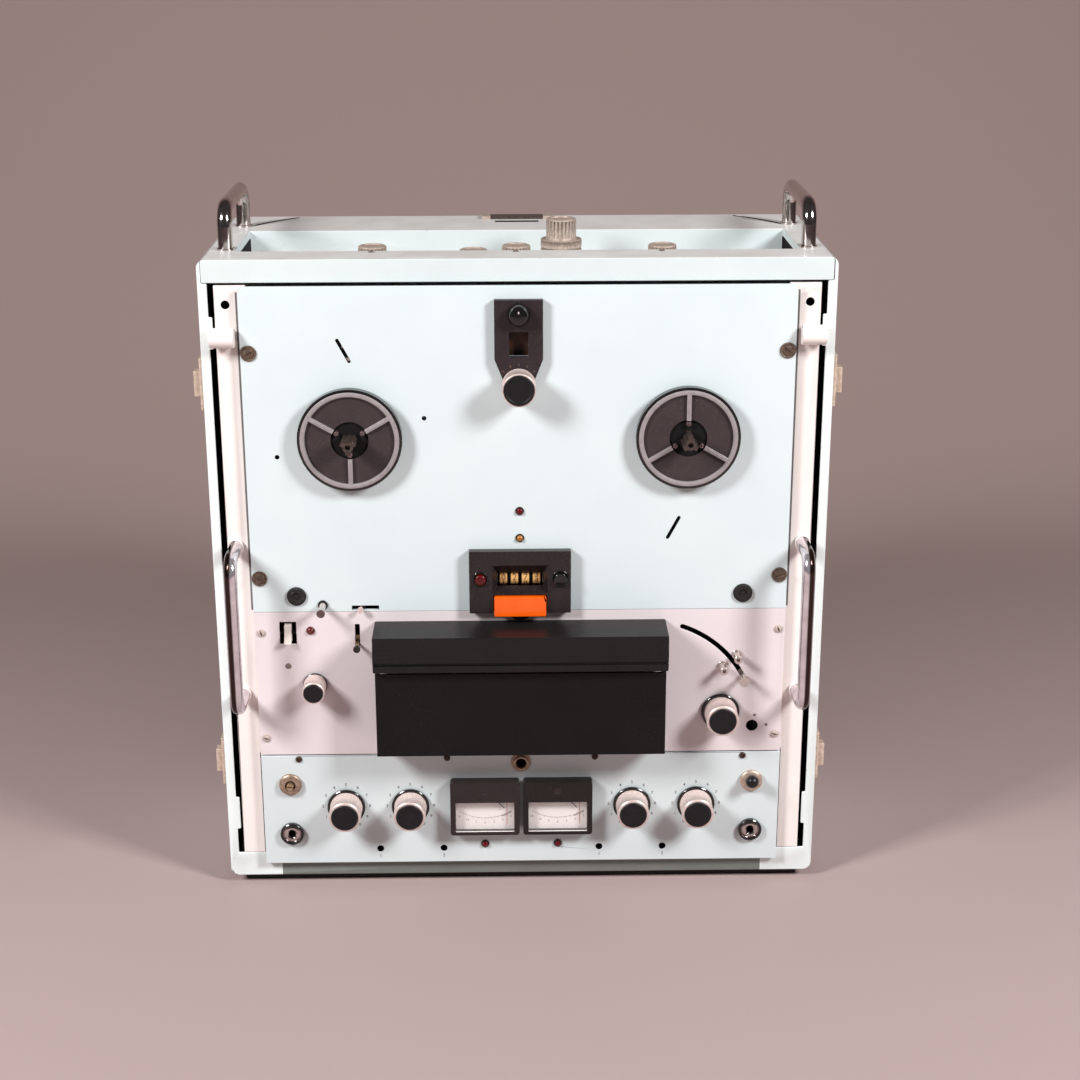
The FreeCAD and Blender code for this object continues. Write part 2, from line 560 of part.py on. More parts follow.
def box(name, x, y, z, length, width, height):
    item = doc.addObject("Part::Box", name)
    bind(item, Length=length, Width=width, Height=height)
    return put(item, x, y, z)


def rod(name, direction, x, y, z, radius, length):
    """Cylinder from a point along a direction."""
    item = doc.addObject("Part::Cylinder", name)
    item.Placement.Rotation = direction
    bind(item, Radius=radius, Height=length)
    return put(item, x, y, z)


def ball(name, x, y, z, radius):
    item = doc.addObject("Part::Sphere", name)
    bind(item, Radius=radius)
    return put(item, x, y, z)


def join(name, *items):
    item = doc.addObject("Part::MultiFuse", name)
    item.Shapes = list(items)
    return item


def carry(name, item, angle):
    """Carrier that turns a piece about the front-to-back axis through its origin."""
    carrier = doc.addObject("Part::Compound", name)
    carrier.Links = [item]
    carrier.Placement.Rotation = FreeCAD.Rotation(FreeCAD.Vector(0, 1, 0), angle)
    return carrier


def cut(name, base, *tools):
    item = doc.addObject("Part::Cut", name)
    item.Base = base
    item.Tool = tools[0] if len(tools) == 1 else join(name + "_tools", *tools)
    return item


def keep(name, first, second):
    item = doc.addObject("Part::Common", name)
    item.Base = first
    item.Tool = second
    return item


def sketch_on(body, role, name, outline, offset):
    """Closed outline whose corners are tied to lengths in words."""
    plane = next(f for f in body.Origin.OriginFeatures if f.Role == role)
    sketch = body.newObject("Sketcher::SketchObject", name)
    sketch.AttachmentSupport = [(plane, "")]
    sketch.MapMode = "FlatFace"
    corners = [FreeCAD.Vector(number(a), number(b), 0) for a, b in outline]
    count = len(corners)
    for index in range(count):
        side = Part.LineSegment(corners[index], corners[(index + 1) % count])
        sketch.addGeometry(side, False)
    for index in range(count):
        sketch.addConstraint(Sketcher.Constraint("Coincident", index, 2, (index + 1) % count, 1))
    for index in range(count):
        for kind, value, text in (
            ("DistanceX", corners[index].x, outline[index][0]),
            ("DistanceY", corners[index].y, outline[index][1]),
        ):
            place = sketch.addConstraint(Sketcher.Constraint(kind, -1, 1, index, 1, value))
            sketch.setExpression(f"Constraints[{place}]", formula(text))
    for axis, text in zip("xyz", offset):
        sketch.setExpression(f"AttachmentOffset.Base.{axis}", formula(text))
    return sketch


def turned(name, x, z, outline):
    """Body turned about a front-to-back axis; the outline holds (y, radius) pairs."""
    body = doc.addObject("PartDesign::Body", name)
    sketch = sketch_on(body, "YZ_Plane", name + "_profile", outline, ("0", z, x))
    turn = body.newObject("PartDesign::Revolution", name + "_turn")
    turn.Profile = sketch
    turn.ReferenceAxis = (sketch, ["H_Axis"])
    turn.Angle = 360
    return body


def plate(name, outline, back, thickness, rounds=None, radius=None):
    """Body cut from sheet, facing the front; rounds says which corners are rounded."""
    body = doc.addObject("PartDesign::Body", name)
    sketch = sketch_on(body, "XZ_Plane", name + "_outline", outline, ("0", "0", f"-({back})"))
    pad = body.newObject("PartDesign::Pad", name + "_pad")
    pad.Profile = sketch
    bind(pad, Length=thickness)
    if rounds:
        doc.recompute()
        chosen = [(number(a), number(b)) for a, b in (outline[index] for index in rounds)]
        names = []
        for index, edge in enumerate(pad.Shape.Edges, start=1):
            ends = [vertex.Point for vertex in edge.Vertexes]
            along = len(ends) == 2 and abs(ends[0].x - ends[1].x) < 1e-6 and abs(ends[0].z - ends[1].z) < 1e-6
            if along and any(math.hypot(ends[0].x - a, ends[0].z - b) < 1e-4 for a, b in chosen):
                names.append(f"Edge{index}")
        fillet = body.newObject("PartDesign::Fillet", name + "_fillet")
        fillet.Base = (pad, names)
        bind(fillet, Radius=radius)
        body.Tip = fillet
    return body


def profile(name, x, width, outline):
    """Body with the same side view along its whole width; the outline holds (y, z) pairs."""
    body = doc.addObject("PartDesign::Body", name)
    sketch = sketch_on(body, "YZ_Plane", name + "_outline", outline, ("0", "0", x))
    pad = body.newObject("PartDesign::Pad", name + "_pad")
    pad.Profile = sketch
    bind(pad, Length=width)
    return body


def rectangle(left, right, low, high):
    return [(left, low), (right, low), (right, high), (left, high)]


def slot_bar(name, x, z, length, tilt=0):
    """Cutter with round ends through a panel, standing upright and then tilted."""
    straight = f"({length}) - 2 * DeckSlotHalf"
    parts = [
        box(name + "_straight", "-DeckSlotHalf", "CutFront", f"-({straight}) / 2", "2 * DeckSlotHalf", "CutDepth",
            straight),
        rod(name + "_low", BACK, "0", "CutFront", f"-({straight}) / 2", "DeckSlotHalf", "CutDepth"),
        rod(name + "_high", BACK, "0", "CutFront", f"({straight}) / 2", "DeckSlotHalf", "CutDepth"),
    ]
    item = join(name, *parts)
    if tilt:
        item.Placement.Rotation = FreeCAD.Rotation(FreeCAD.Vector(0, 1, 0), number(tilt))
    return put(item, x, "0", z)


def through(name, x, z, radius):
    """Round cutter through any of the panels."""
    return rod(name, BACK, x, "CutFront", z, radius, "CutDepth")


def opening(name, left, right, low, high):
    """Square cutter through any of the panels."""
    return box(name, left, "CutFront", low, f"({right}) - ({left})", "CutDepth", f"({high}) - ({low})")


NODES = {}


def node(item, name):
    """Name a finished piece and set it on the skids around the part's origin."""
    item.Label = name
    put(item, "0", "FrontPlane", "SkidHeight")
    NODES[name] = item
    return item


# Case

def case_shell():
    half = "CaseWidth / 2"
    outer = plate("shell_outer", rectangle(f"-{half}", half, "0", "CaseHeight"),
                  "CaseDepth", "CaseDepth", (0, 1, 2, 3), "CornerRound")
    inner = plate("shell_inner", rectangle("-SideIn", "SideIn", "CaseSheet", "CaseHeight + CaseSheet"),
                  "CaseDepth - CaseSheet", "CaseDepth - 2 * CaseSheet", (0, 1), "CornerRound - SideWall")
    top = box("shell_top", "-SideIn", "-1", "ApronLow", "2 * SideIn", "CaseDepth + 2", "2 * ApronHeight")
    front = box("shell_front", "-FrameIn", "-1", "BottomRail", "2 * FrameIn", "CaseSheet + 2",
                "CaseHeight")
    back_half = f"({half} - BackOpeningEdge)"
    back = box("shell_back", f"-{back_half}", "CaseDepth - CaseSheet - 1", "BackOpeningEdge",
               f"2 * {back_half}", "CaseSheet + 2", "ApronLow - 2 * BackOpeningEdge")
    shell = cut("shell_cut", outer, inner, top, front, back)
    tabs = []
    for side, sign in (("left", -1), ("right", 1)):
        for place, height, length in (("upper", "UpperTabHeight", "UpperTabLength"),
                                      ("lower", "LowerTabHeight", "LowerTabLength")):
            inner_edge = "RackWidth / 2 + TabGap"
            start = "-(FrameIn + 1)" if sign < 0 else inner_edge
            tabs.append(box(f"tab_{place}_{side}", start, "0", f"{height} - {length} / 2",
                            f"FrameIn + 1 - ({inner_edge})", "CaseSheet", length))
    node(join("case_shell_body", shell, *tabs, *retaining_bars()), "case_shell")


def case_top():
    half = "CaseWidth / 2"
    outer = plate("top_outer", rectangle(f"-{half}", half, "ApronLow - 3 * CornerRound", "CaseHeight"),
                  "CaseDepth", "CaseDepth", (2, 3), "CornerRound")
    reach = "(SideIn - SeamGap)"
    between = box("top_between", f"-{reach}", "0", "ApronLow + SeamGap", f"2 * {reach}", "CaseDepth",
                  "ApronHeight")
    lid = keep("top_lid", outer, between)
    hollow = box("top_hollow", f"-{reach} + CaseSheet", "CaseSheet", "ApronLow - 1",
                 f"2 * ({reach} - CaseSheet)", "CaseDepth - 2 * CaseSheet", "ApronHeight + 1 - CaseSheet")
    well_hole = box("top_well_hole", "-WellWidth / 2", "FrontRail", "ApronLow", "WellWidth", "WellLength",
                    "2 * ApronHeight")
    sheet_part = cut("top_sheet", lid, hollow, well_hole)
    well_outer = box("well_outer", "-WellWidth / 2 - WellSheet", "FrontRail - WellSheet",
                     "WellFloor - WellSheet", "WellWidth + 2 * WellSheet", "WellLength + 2 * WellSheet",
                     "WellDepth - CaseSheet + WellSheet + 0.5")
    well_inner = box("well_inner", "-WellWidth / 2", "FrontRail", "WellFloor", "WellWidth", "WellLength",
                     "2 * WellDepth")
    slots = []
    for side, sign in (("left", -1), ("right", 1)):
        start = "-WellWidth / 2 - 2 * WellSheet" if sign < 0 else "WellWidth / 2 - WellSheet"
        slots.append(box(f"well_slot_{side}", start, "FrontRail + WellSlotSetBack", "WellFloor + WellSlotRise",
                         "3 * WellSheet", "WellSlotLength", "WellSlotHeight"))
    well = cut("well_tray", well_outer, well_inner, *slots)
    body = join("top_with_well", sheet_part, well)
    curves = []
    for side, sign in (("left", -1), ("right", 1)):
        rings = []
        for edge, radius in (("outer", "CornerSlotRadius + CornerSlotWidth / 2"),
                             ("inner", "CornerSlotRadius - CornerSlotWidth / 2")):
            disc = doc.addObject("Part::Cylinder", f"corner_{edge}_{side}")
            start = number("CornerSlotStart") if sign > 0 else 180 - number("CornerSlotStart + CornerSlotSweep")
            disc.Placement.Rotation = FreeCAD.Rotation(FreeCAD.Vector(0, 0, 1), start)
            bind(disc, Radius=radius, Height="4 * CaseSheet", Angle="CornerSlotSweep")
            put(disc, f"{sign} * CornerSlotAcross", "CornerSlotBack", "CaseHeight - 2 * CaseSheet")
            rings.append(disc)
        curves.append(cut(f"corner_slot_{side}", rings[0], rings[1]))
    node(cut("case_top_body", body, *curves), "case_top")


def rear_cover():
    half = "(CaseWidth / 2 - RearCoverEdge)"
    panel = plate("rear_sheet", rectangle(f"-{half}", half, "BackOpeningEdge / 2", "ApronLow - BackOpeningEdge / 2"),
                  "CaseDepth + RearCoverSheet", "RearCoverSheet", (0, 1, 2, 3), "CornerRound")
    vents = []
    for side, sign in (("left", -1), ("right", 1)):
        column = doc.addObject("Part::Box", f"vent_{side}")
        bind(column, Length="VentLength", Width="3 * RearCoverSheet", Height="VentHeight")
        put(column, f"{sign} * VentAcross - VentLength / 2", "CaseDepth - RearCoverSheet", "VentTop")
        vents.append(column)
        for row in range(1, int(sheet.get("VentRows"))):
            vents.append(box(f"vent_{side}_{row}", f"{sign} * VentAcross - VentLength / 2",
                             "CaseDepth - RearCoverSheet", f"VentTop - {row} * VentPitch",
                             "VentLength", "3 * RearCoverSheet", "VentHeight"))
    node(cut("rear_cover_body", panel, *vents), "rear_cover")


def rubber_skids():
    skids = [
        box("skid_front", "-SkidLength / 2", "SkidInset", "-SkidHeight", "SkidLength", "SkidWidth", "SkidHeight"),
        box("skid_back", "-SkidLength / 2", "CaseDepth - SkidInset - SkidWidth", "-SkidHeight", "SkidLength",
            "SkidWidth", "SkidHeight"),
    ]
    node(join("rubber_skids_body", *skids), "rubber_skids")


def lid_catches():
    catches = []
    for side, sign in (("left", -1), ("right", 1)):
        for place, height in (("upper", "CatchUpper"), ("lower", "CatchLower")):
            plate_start = "-CaseWidth / 2 - CatchPlate" if sign < 0 else "CaseWidth / 2"
            loop_start = "-CaseWidth / 2 - CatchProud" if sign < 0 else "CaseWidth / 2"
            catches.append(box(f"catch_plate_{place}_{side}", plate_start, "1", f"{height} - CatchLength / 2",
                               "CatchPlate", "CatchWidth", "CatchLength"))
            catches.append(box(f"catch_loop_{place}_{side}", loop_start, "3", f"{height} - CatchLoop / 2",
                               "CatchProud", "CatchWidth / 2", "CatchLoop"))
    node(join("lid_catches_body", *catches), "lid_catches")


# Handles

def bail(name, start, direction, reach, span, bar, bend, sink):
    """Round-bar handle: two legs, two bends and a grip, from a foot at start."""
    x, y, z = start
    legs = []
    if direction == "up":
        legs.append(rod(f"{name}_leg_a", UP, x, y, f"{z} - ({sink})", bar, f"{reach} - {bend} + {sink}"))
        legs.append(rod(f"{name}_leg_b", UP, x, f"{y} + {span}", f"{z} - ({sink})", bar,
                        f"{reach} - {bend} + {sink}"))
        grip = rod(f"{name}_grip", BACK, x, f"{y} + {bend}", f"{z} + {reach}", bar, f"{span} - 2 * {bend}")
        corners = [(f"{y} + {bend}", f"{z} + {reach} - {bend}", 90, "a"),
                   (f"{y} + {span} - {bend}", f"{z} + {reach} - {bend}", 0, "b")]
        turn = FreeCAD.Rotation(FreeCAD.Vector(0, 1, 0), 90).multiply(FreeCAD.Rotation(FreeCAD.Vector(0, 0, 1), 90))
    else:
        legs.append(rod(f"{name}_leg_a", FRONT, x, f"{y} + {sink}", z, bar, f"{reach} - {bend} + {sink}"))
        legs.append(rod(f"{name}_leg_b", FRONT, x, f"{y} + {sink}", f"{z} + {span}", bar,
                        f"{reach} - {bend} + {sink}"))
        grip = rod(f"{name}_grip", UP, x, f"{y} - {reach}", f"{z} + {bend}", bar, f"{span} - 2 * {bend}")
        corners = [(f"{y} - {reach} + {bend}", f"{z} + {bend}", 180, "a"),
                   (f"{y} - {reach} + {bend}", f"{z} + {span} - {bend}", 90, "b")]
        turn = FreeCAD.Rotation(FreeCAD.Vector(0, 1, 0), 90).multiply(FreeCAD.Rotation(FreeCAD.Vector(0, 0, 1), 90))
    bends = []
    for corner_y, corner_z, angle, mark in corners:
        ring = doc.addObject("Part::Torus", f"{name}_bend_{mark}")
        ring.Angle3 = 90
        ring.Placement.Rotation = turn.multiply(FreeCAD.Rotation(FreeCAD.Vector(0, 0, 1), angle))
        bind(ring, Radius1=bend, Radius2=bar)
        put(ring, x, corner_y, corner_z)
        bends.append(ring)
    return join(name, *legs, grip, *bends)


def handles():
    top = []
    rack = []
    for side, sign in (("left", -1), ("right", 1)):
        top.append(bail(f"top_handle_{side}", (f"{sign} * TopHandleAcross", "TopHandleFront", "CaseHeight"),
                        "up", "TopHandleReach", "TopHandleSpan", "TopHandleBar", "TopHandleBend", "0"))
        rack.append(bail(f"rack_handle_{side}", (f"{sign} * RackHandleAcross", "0", "RackHandleLow"),
                         "front", "RackHandleReach", "RackHandleSpan", "RackHandleBar", "RackHandleBend",
                         "StripThickness"))
        for leg, place in (("front", "TopHandleFront"), ("back", "TopHandleFront + TopHandleSpan")):
            top.append(rod(f"top_collar_{side}_{leg}", UP, f"{sign} * TopHandleAcross", place, "CaseHeight",
                           "TopHandleBar + TopCollarRim", "TopCollarHeight"))
    node(join("top_handles_body", *top), "top_handles")
    node(join("rack_handles_body", *rack), "rack_handles")


def rack_strips():
    pieces = []
    holes = []
    for side, sign in (("left", -1), ("right", 1)):
        width = "(RackWidth - StripInner) / 2"
        start = "-RackWidth / 2" if sign < 0 else "StripInner / 2"
        pieces.append(box(f"strip_{side}", start, "0", "StripBottom", width, "StripThickness",
                          "StripTop - StripBottom"))
        holes.append(rod(f"rack_hole_{side}", BACK, f"{sign} * RackHoleSpacing / 2", "-1", "RackHoleHeight",
                         "RackHoleRadius", "StripThickness + 2"))
        step = "(PanelWidth / 2 + ControlSideGap)"
        step_start = f"-{step}" if sign < 0 else "StripInner / 2 - 1"
        holes.append(box(f"strip_step_{side}", step_start, "-1", "StripBottom - 1",
                         f"{step} - StripInner / 2 + 1", "StripThickness + 2", "ControlSeam - StripBottom + 1"))
        for leg, height in (("low", "RackHandleLow"), ("high", "RackHandleLow + RackHandleSpan")):
            pieces.append(rod(f"ferrule_{side}_{leg}", FRONT, f"{sign} * RackHandleAcross", "1", height,
                              "FerruleRadius", "FerruleHeight + 1"))
            holes.append(rod(f"leg_hole_{side}_{leg}", BACK, f"{sign} * RackHandleAcross",
                             "-FerruleHeight - 1", height, "RackHandleBar", "FerruleHeight + StripThickness + 2"))
    node(cut("rack_strips_body", join("strips_whole", *pieces), *holes), "rack_strips")


def retaining_bars():
    bars = []
    for side, sign in (("left", -1), ("right", 1)):
        start = "-CaseWidth / 2 + BarSetIn" if sign < 0 else "CaseWidth / 2 - BarSetIn - BarLength"
        bars.append(rod(f"bar_{side}", RIGHT, start, "-BarRadius", "UpperTabHeight - BarDrop", "BarRadius",
                        "BarLength"))
        bars.append(box(f"bar_foot_{side}", start, "-BarRadius / 2",
                        "UpperTabHeight - BarDrop - BarRadius / 2", "BarLength", "BarRadius / 2", "BarRadius"))
    return bars


# Chassis and panels

def chassis_frame():
    pieces = []
    height = "WellFloor - WellSheet - 2 * SeamGap - CheekBottom"
    full = "2 * CheekIn"
    for side, sign in (("left", -1), ("right", 1)):
        start = "-CheekOut" if sign < 0 else "CheekIn"
        cheek = box(f"cheek_{side}", start, "PanelBack", "CheekBottom", "CheekThickness", "CheekDepth", height)
        windows = []
        for place, low, tall in (("lower", "CheekBottom + 2.2 * RailHeight", "CheekWindow"),
                                 ("upper", "SubplateHigh + 2 * RailHeight", "2 * CheekWindow")):
            windows.append(box(f"cheek_window_{place}_{side}", f"{start} - 1", "4 * RailDepth", low,
                               "CheekThickness + 2", "CheekDepth / 2", tall))
        pieces.append(cut(f"cheek_cut_{side}", cheek, *windows))
    pieces.append(box("rail_top", "-CheekIn", "PanelBack", "WellFloor - WellSheet - 1.5 * RailHeight", full,
                      "RailDepth", "RailHeight"))
    seams = [("rail_seam_left", "-CheekIn", "-FeelerSlotLeft - RailHeight"),
             ("rail_seam_middle", "-FeelerSlotRight + RailHeight", "-BezelHalf - 2"),
             ("rail_seam_right", "BezelHalf + 2", "CheekIn")]
    for name, left, right in seams:
        pieces.append(box(name, left, "PanelBack", "DeckSeam - RailHeight", f"({right}) - ({left})", "RailDepth",
                          "RailHeight"))
    balance = "(BalanceRadius + 3)"
    for name, left in (("rail_control_left", "-CheekIn"), ("rail_control_right", balance)):
        pieces.append(box(name, left, "PanelBack", "ControlSeam - RailHeight / 2", f"CheekIn - {balance}",
                          "RailDepth", "RailHeight"))
    pieces.append(box("rail_bottom", "-CheekIn", "PanelBack", "CheekBottom", full, "RailDepth", "ShelfThickness"))
    pieces.append(box("chassis_shelf", "-CheekIn", "3 * RailDepth", "CheekBottom", full,
                      "CheekDepth - 3 * RailDepth + PanelBack", "ShelfThickness"))
    pieces.append(box("seam_bracket", "-CapstanAcross - RailHeight", "PanelBack + RailDepth", "DeckSeam - RailHeight",
                      "RailHeight", "SubplateFront - PanelBack - RailDepth", "RailHeight"))
    drive = box("drive_plate", "-CheekIn", "SubplateFront", "SubplateLow", full, "SubplateThickness",
                "SubplateHigh - SubplateLow")
    tail = rod("tail_bearing", BACK, "CapstanAcross", "SubplateFront - 1", "CapstanHeight",
               "CapstanRadius + 2 + RunningClearance", "SubplateThickness + 2")
    shaft = rod("motor_shaft_hole", BACK, "-CapstanMotorAcross", "SubplateFront - 1", "CapstanHeight",
                "PulleyRadius + MovingGap", "SubplateThickness + 2")
    pieces.append(cut("drive_plate_cut", drive, tail, shaft))
    frame = doc.addObject("Part::Compound", "chassis_body")
    frame.Links = pieces
    node(frame, "chassis_frame")


def deck_plate():
    blank = plate("deck_blank", rectangle("-PanelWidth / 2", "PanelWidth / 2", "DeckSeam + SeamGap", "PanelTop"),
                  "PanelBack", "PanelThickness", (2, 3), "PanelRound")
    holes = [
        opening("deck_window", "-SpeedWindowHalf", "SpeedWindowHalf", "SpeedWindowLow", "SpeedWindowHigh"),
        through("deck_speed_hole", "0", "SpeedKnobHeight", "ShaftHole"),
        through("deck_dial_hole", "0", "DialHeight", "ShaftHole"),
        opening("deck_counter", "-2 * DrumPitch - DrumWidth", "2 * DrumPitch + DrumWidth",
                "DrumHeight - DrumRadius - MovingGap - 1", "DrumHeight + DrumRadius + MovingGap + 1"),
        through("deck_record_hole", "-RecordAcross", "ButtonHeight", "RecordRadius"),
        through("deck_reset_hole", "ResetAcross", "ButtonHeight", "RecordRadius"),
        through("deck_lamp_red", "0", "RedLampHeight", "LampRadius"),
        through("deck_lamp_amber", "0", "AmberLampHeight", "LampRadius"),
        through("deck_dot_left", "-DotLeftAcross", "DotLeftHeight", "PinholeRadius"),
        through("deck_dot_right", "-DotRightAcross", "DotRightHeight", "PinholeRadius"),
        slot_bar("deck_slot_upper", "-UpperSlotAcross", "UpperSlotHeight", "DeckSlotLength", "DeckSlotTilt * -1"),
        slot_bar("deck_slot_lower", "LowerSlotAcross", "LowerSlotHeight", "DeckSlotLength", "DeckSlotTilt"),
        opening("feeler_slot", "-FeelerSlotLeft", "-FeelerSlotRight", "FeelerHeight - SlotHalf",
                "FeelerHeight + SlotHalf"),
    ]
    for side, sign in (("left", -1), ("right", 1)):
        holes.append(through(f"deck_reel_hole_{side}", f"{sign} * ReelAcross", "ReelHeight", "2 * SpindleShaft"))
        for place, high in (("upper", "DeckScrewUpper"), ("lower", "DeckScrewLower")):
            holes.append(through(f"deck_screw_{place}_{side}", f"{sign} * DeckScrewAcross", high, "ScrewHole"))
    node(cut("deck_plate_body", blank, *holes), "deck_plate")


def arc_cutter(name, radius_in, radius_out, start, sweep, back, length):
    """Curved cutter about the tension arm's pivot."""
    discs = []
    for mark, radius in (("outer", radius_out), ("inner", radius_in)):
        disc = doc.addObject("Part::Cylinder", f"{name}_{mark}")
        disc.Placement.Rotation = FRONT.multiply(FreeCAD.Rotation(FreeCAD.Vector(0, 0, 1), number(start)))
        bind(disc, Radius=radius, Height=length, Angle=sweep)
        put(disc, "ArmPivotAcross", back, "ArmPivotHeight")
        discs.append(disc)
    return cut(name, discs[0], discs[1])


def on_arm(angle, radius):
    """Point on a circle round the tension arm's pivot, in words."""
    return (f"(ArmPivotAcross + ({radius}) * cos(({angle}) * 1 deg))",
            f"(ArmPivotHeight + ({radius}) * sin(({angle}) * 1 deg))")


def head_panel():
    blank = plate("head_blank", rectangle("-PanelWidth / 2", "PanelWidth / 2", "ControlSeam + SeamGap", "DeckSeam"),
                  "PanelBack", "PanelThickness")
    rocker_half = "RockerOpening / 2"
    holes = [
        opening("rocker_opening", f"-RockerAcross - {rocker_half}", f"-RockerAcross + {rocker_half}",
                "RockerHeight - RockerOpeningHeight / 2", "RockerHeight + RockerOpeningHeight / 2"),
        through("mains_lamp_hole", "-MainsLampAcross", "MainsLampHeight", "LampRadius"),
        through("function_hole", "-FunctionAcross", "FunctionHeight", "ShaftHole"),
        through("transport_hole", "TransportAcross", "TransportHeight", "ShaftHole"),
        through("keyhole", "KeyholeAcross", "KeyholeHeight", "KeyholeRadius"),
        through("capstan_hole", "CapstanAcross", "CapstanHeight", "CapstanRadius + 3"),
        opening("switch_slot", "-SwitchSlotAcross - SlotHalf", "-SwitchSlotAcross + SlotHalf",
                "SwitchSlotLow", "SwitchSlotHigh"),
        arc_cutter("arm_slot", "ArmRadius - SlotHalf", "ArmRadius + SlotHalf", "ArmSlotStart", "ArmSlotSweep",
                   "CutDepth + CutFront", "CutDepth"),
    ]
    for end, angle in (("low", "ArmSlotStart"), ("high", "ArmSlotStart + ArmSlotSweep")):
        x, z = on_arm(angle, "ArmRadius")
        holes.append(through(f"arm_slot_{end}", x, z, "SlotHalf"))
    for side, sign in (("left", -1), ("right", 1)):
        for place, high in (("upper", "HeadScrewUpper"), ("lower", "HeadScrewLower")):
            holes.append(through(f"head_screw_{place}_{side}", f"{sign} * HeadScrewAcross", high, "ScrewHole"))
    pierced = cut("head_pierced", blank, *holes)
    pivot = rod("arm_pivot_pin", BACK, "ArmPivotAcross", "PanelBack - 1", "ArmPivotHeight", "ArmPivotPin",
                "3 * ArmThickness")
    feeler = rod("feeler_pivot_pin", BACK, "-(FeelerSlotLeft + FeelerSlotRight) / 2", "PanelBack - 1",
                 "FeelerHeight - FeelerArm", "ArmPivotPin", "4.5 * ArmThickness")
    pin = rod("rocker_pin", RIGHT, f"-RockerAcross - {rocker_half} - 1", "Face + PanelThickness / 2",
              "RockerHeight", "AxleRadius", "RockerOpening + 2")
    node(join("head_panel_body", pierced, pivot, feeler, pin), "head_panel")


def control_panel():
    blank = plate("control_blank", rectangle("-PanelWidth / 2", "PanelWidth / 2", "PanelBottom", "ControlTop"),
                  "PanelBack", "PanelThickness")
    holes = [through("balance_hole", "0", "BalanceHeight", "BalanceRadius - 2")]
    for side, sign in (("left", -1), ("right", 1)):
        for place, across in (("outer", "GainOuter"), ("inner", "GainInner")):
            holes.append(through(f"gain_hole_{place}_{side}", f"{sign} * {across}", "GainHeight", "ShaftHole"))
        for place, across in (("outer", "TrimOuter"), ("inner", "TrimInner")):
            holes.append(through(f"trim_hole_{place}_{side}", f"{sign} * {across}", "TrimHeight", "TrimHoleRadius"))
        for place, across in (("outer", "ControlScrewOuter"), ("inner", "ControlScrewInner")):
            holes.append(through(f"control_screw_{place}_{side}", f"{sign} * {across}", "ControlScrewHeight",
                                 "ScrewHole"))
        holes.append(through(f"toggle_hole_{side}", f"{sign} * ToggleAcross", "ToggleHeight", "NutRadius - 3"))
        holes.append(through(f"jack_hole_{side}", f"{sign} * JackAcross", "JackHeight", "JackBarrel"))
        holes.append(through(f"meter_hole_{side}", f"{sign} * MeterAcross", "(MeterLow + MeterHigh) / 2", "MeterCan"))
        holes.append(through(f"record_lamp_hole_{side}", f"{sign} * RecordLampAcross", "RecordLampHeight",
                             "LampRadius"))
    node(cut("control_panel_body", blank, *holes), "control_panel")


def screw(name, x, z, head):
    """Cheese-head screw through a panel, with a cross slot."""
    body = join(
        name,
        rod(name + "_head", FRONT, x, "Face", z, head, "ScrewHeadHeight"),
        rod(name + "_shank", BACK, x, "Face - ScrewHeadHeight / 2", z, "ScrewShank",
            "PanelThickness + ScrewHeadHeight / 2"),
    )
    groove = box(name + "_groove", f"{x} - {head}", "Face - ScrewHeadHeight - 1", f"{z} - {head} / 8",
                 f"2 * {head}", "1 + ScrewHeadHeight / 2", f"{head} / 4")
    return cut(name + "_slotted", body, groove)


def panel_screws():
    screws = []
    for side, sign in (("left", -1), ("right", 1)):
        places = [("deck_upper", "DeckScrewAcross", "DeckScrewUpper", "DeckScrewHead"),
                  ("deck_lower", "DeckScrewAcross", "DeckScrewLower", "DeckScrewHead"),
                  ("head_upper", "HeadScrewAcross", "HeadScrewUpper", "HeadScrewHead"),
                  ("head_lower", "HeadScrewAcross", "HeadScrewLower", "HeadScrewHead"),
                  ("control_outer", "ControlScrewOuter", "ControlScrewHeight", "ControlScrewHead"),
                  ("control_inner", "ControlScrewInner", "ControlScrewHeight", "ControlScrewHead")]
        for place, across, high, head in places:
            screws.append(screw(f"screw_{place}_{side}", f"{sign} * {across}", high, head))
    node(join("panel_screws_body", *screws), "panel_screws")


# Pieces on the deck plate

def wings(name, x, z, front, length, turn):
    """Three wings round a spindle's axis, seen from the front."""
    blades = []
    for index in range(3):
        blade = box(f"{name}_wing_{index}", "-WingWidth / 2", "0", "0", "WingWidth", length, "SpindleWing")
        holder = carry(f"{name}_arm_{index}", blade, turn + 120 * index)
        blades.append(put(holder, x, front, z))
    return blades


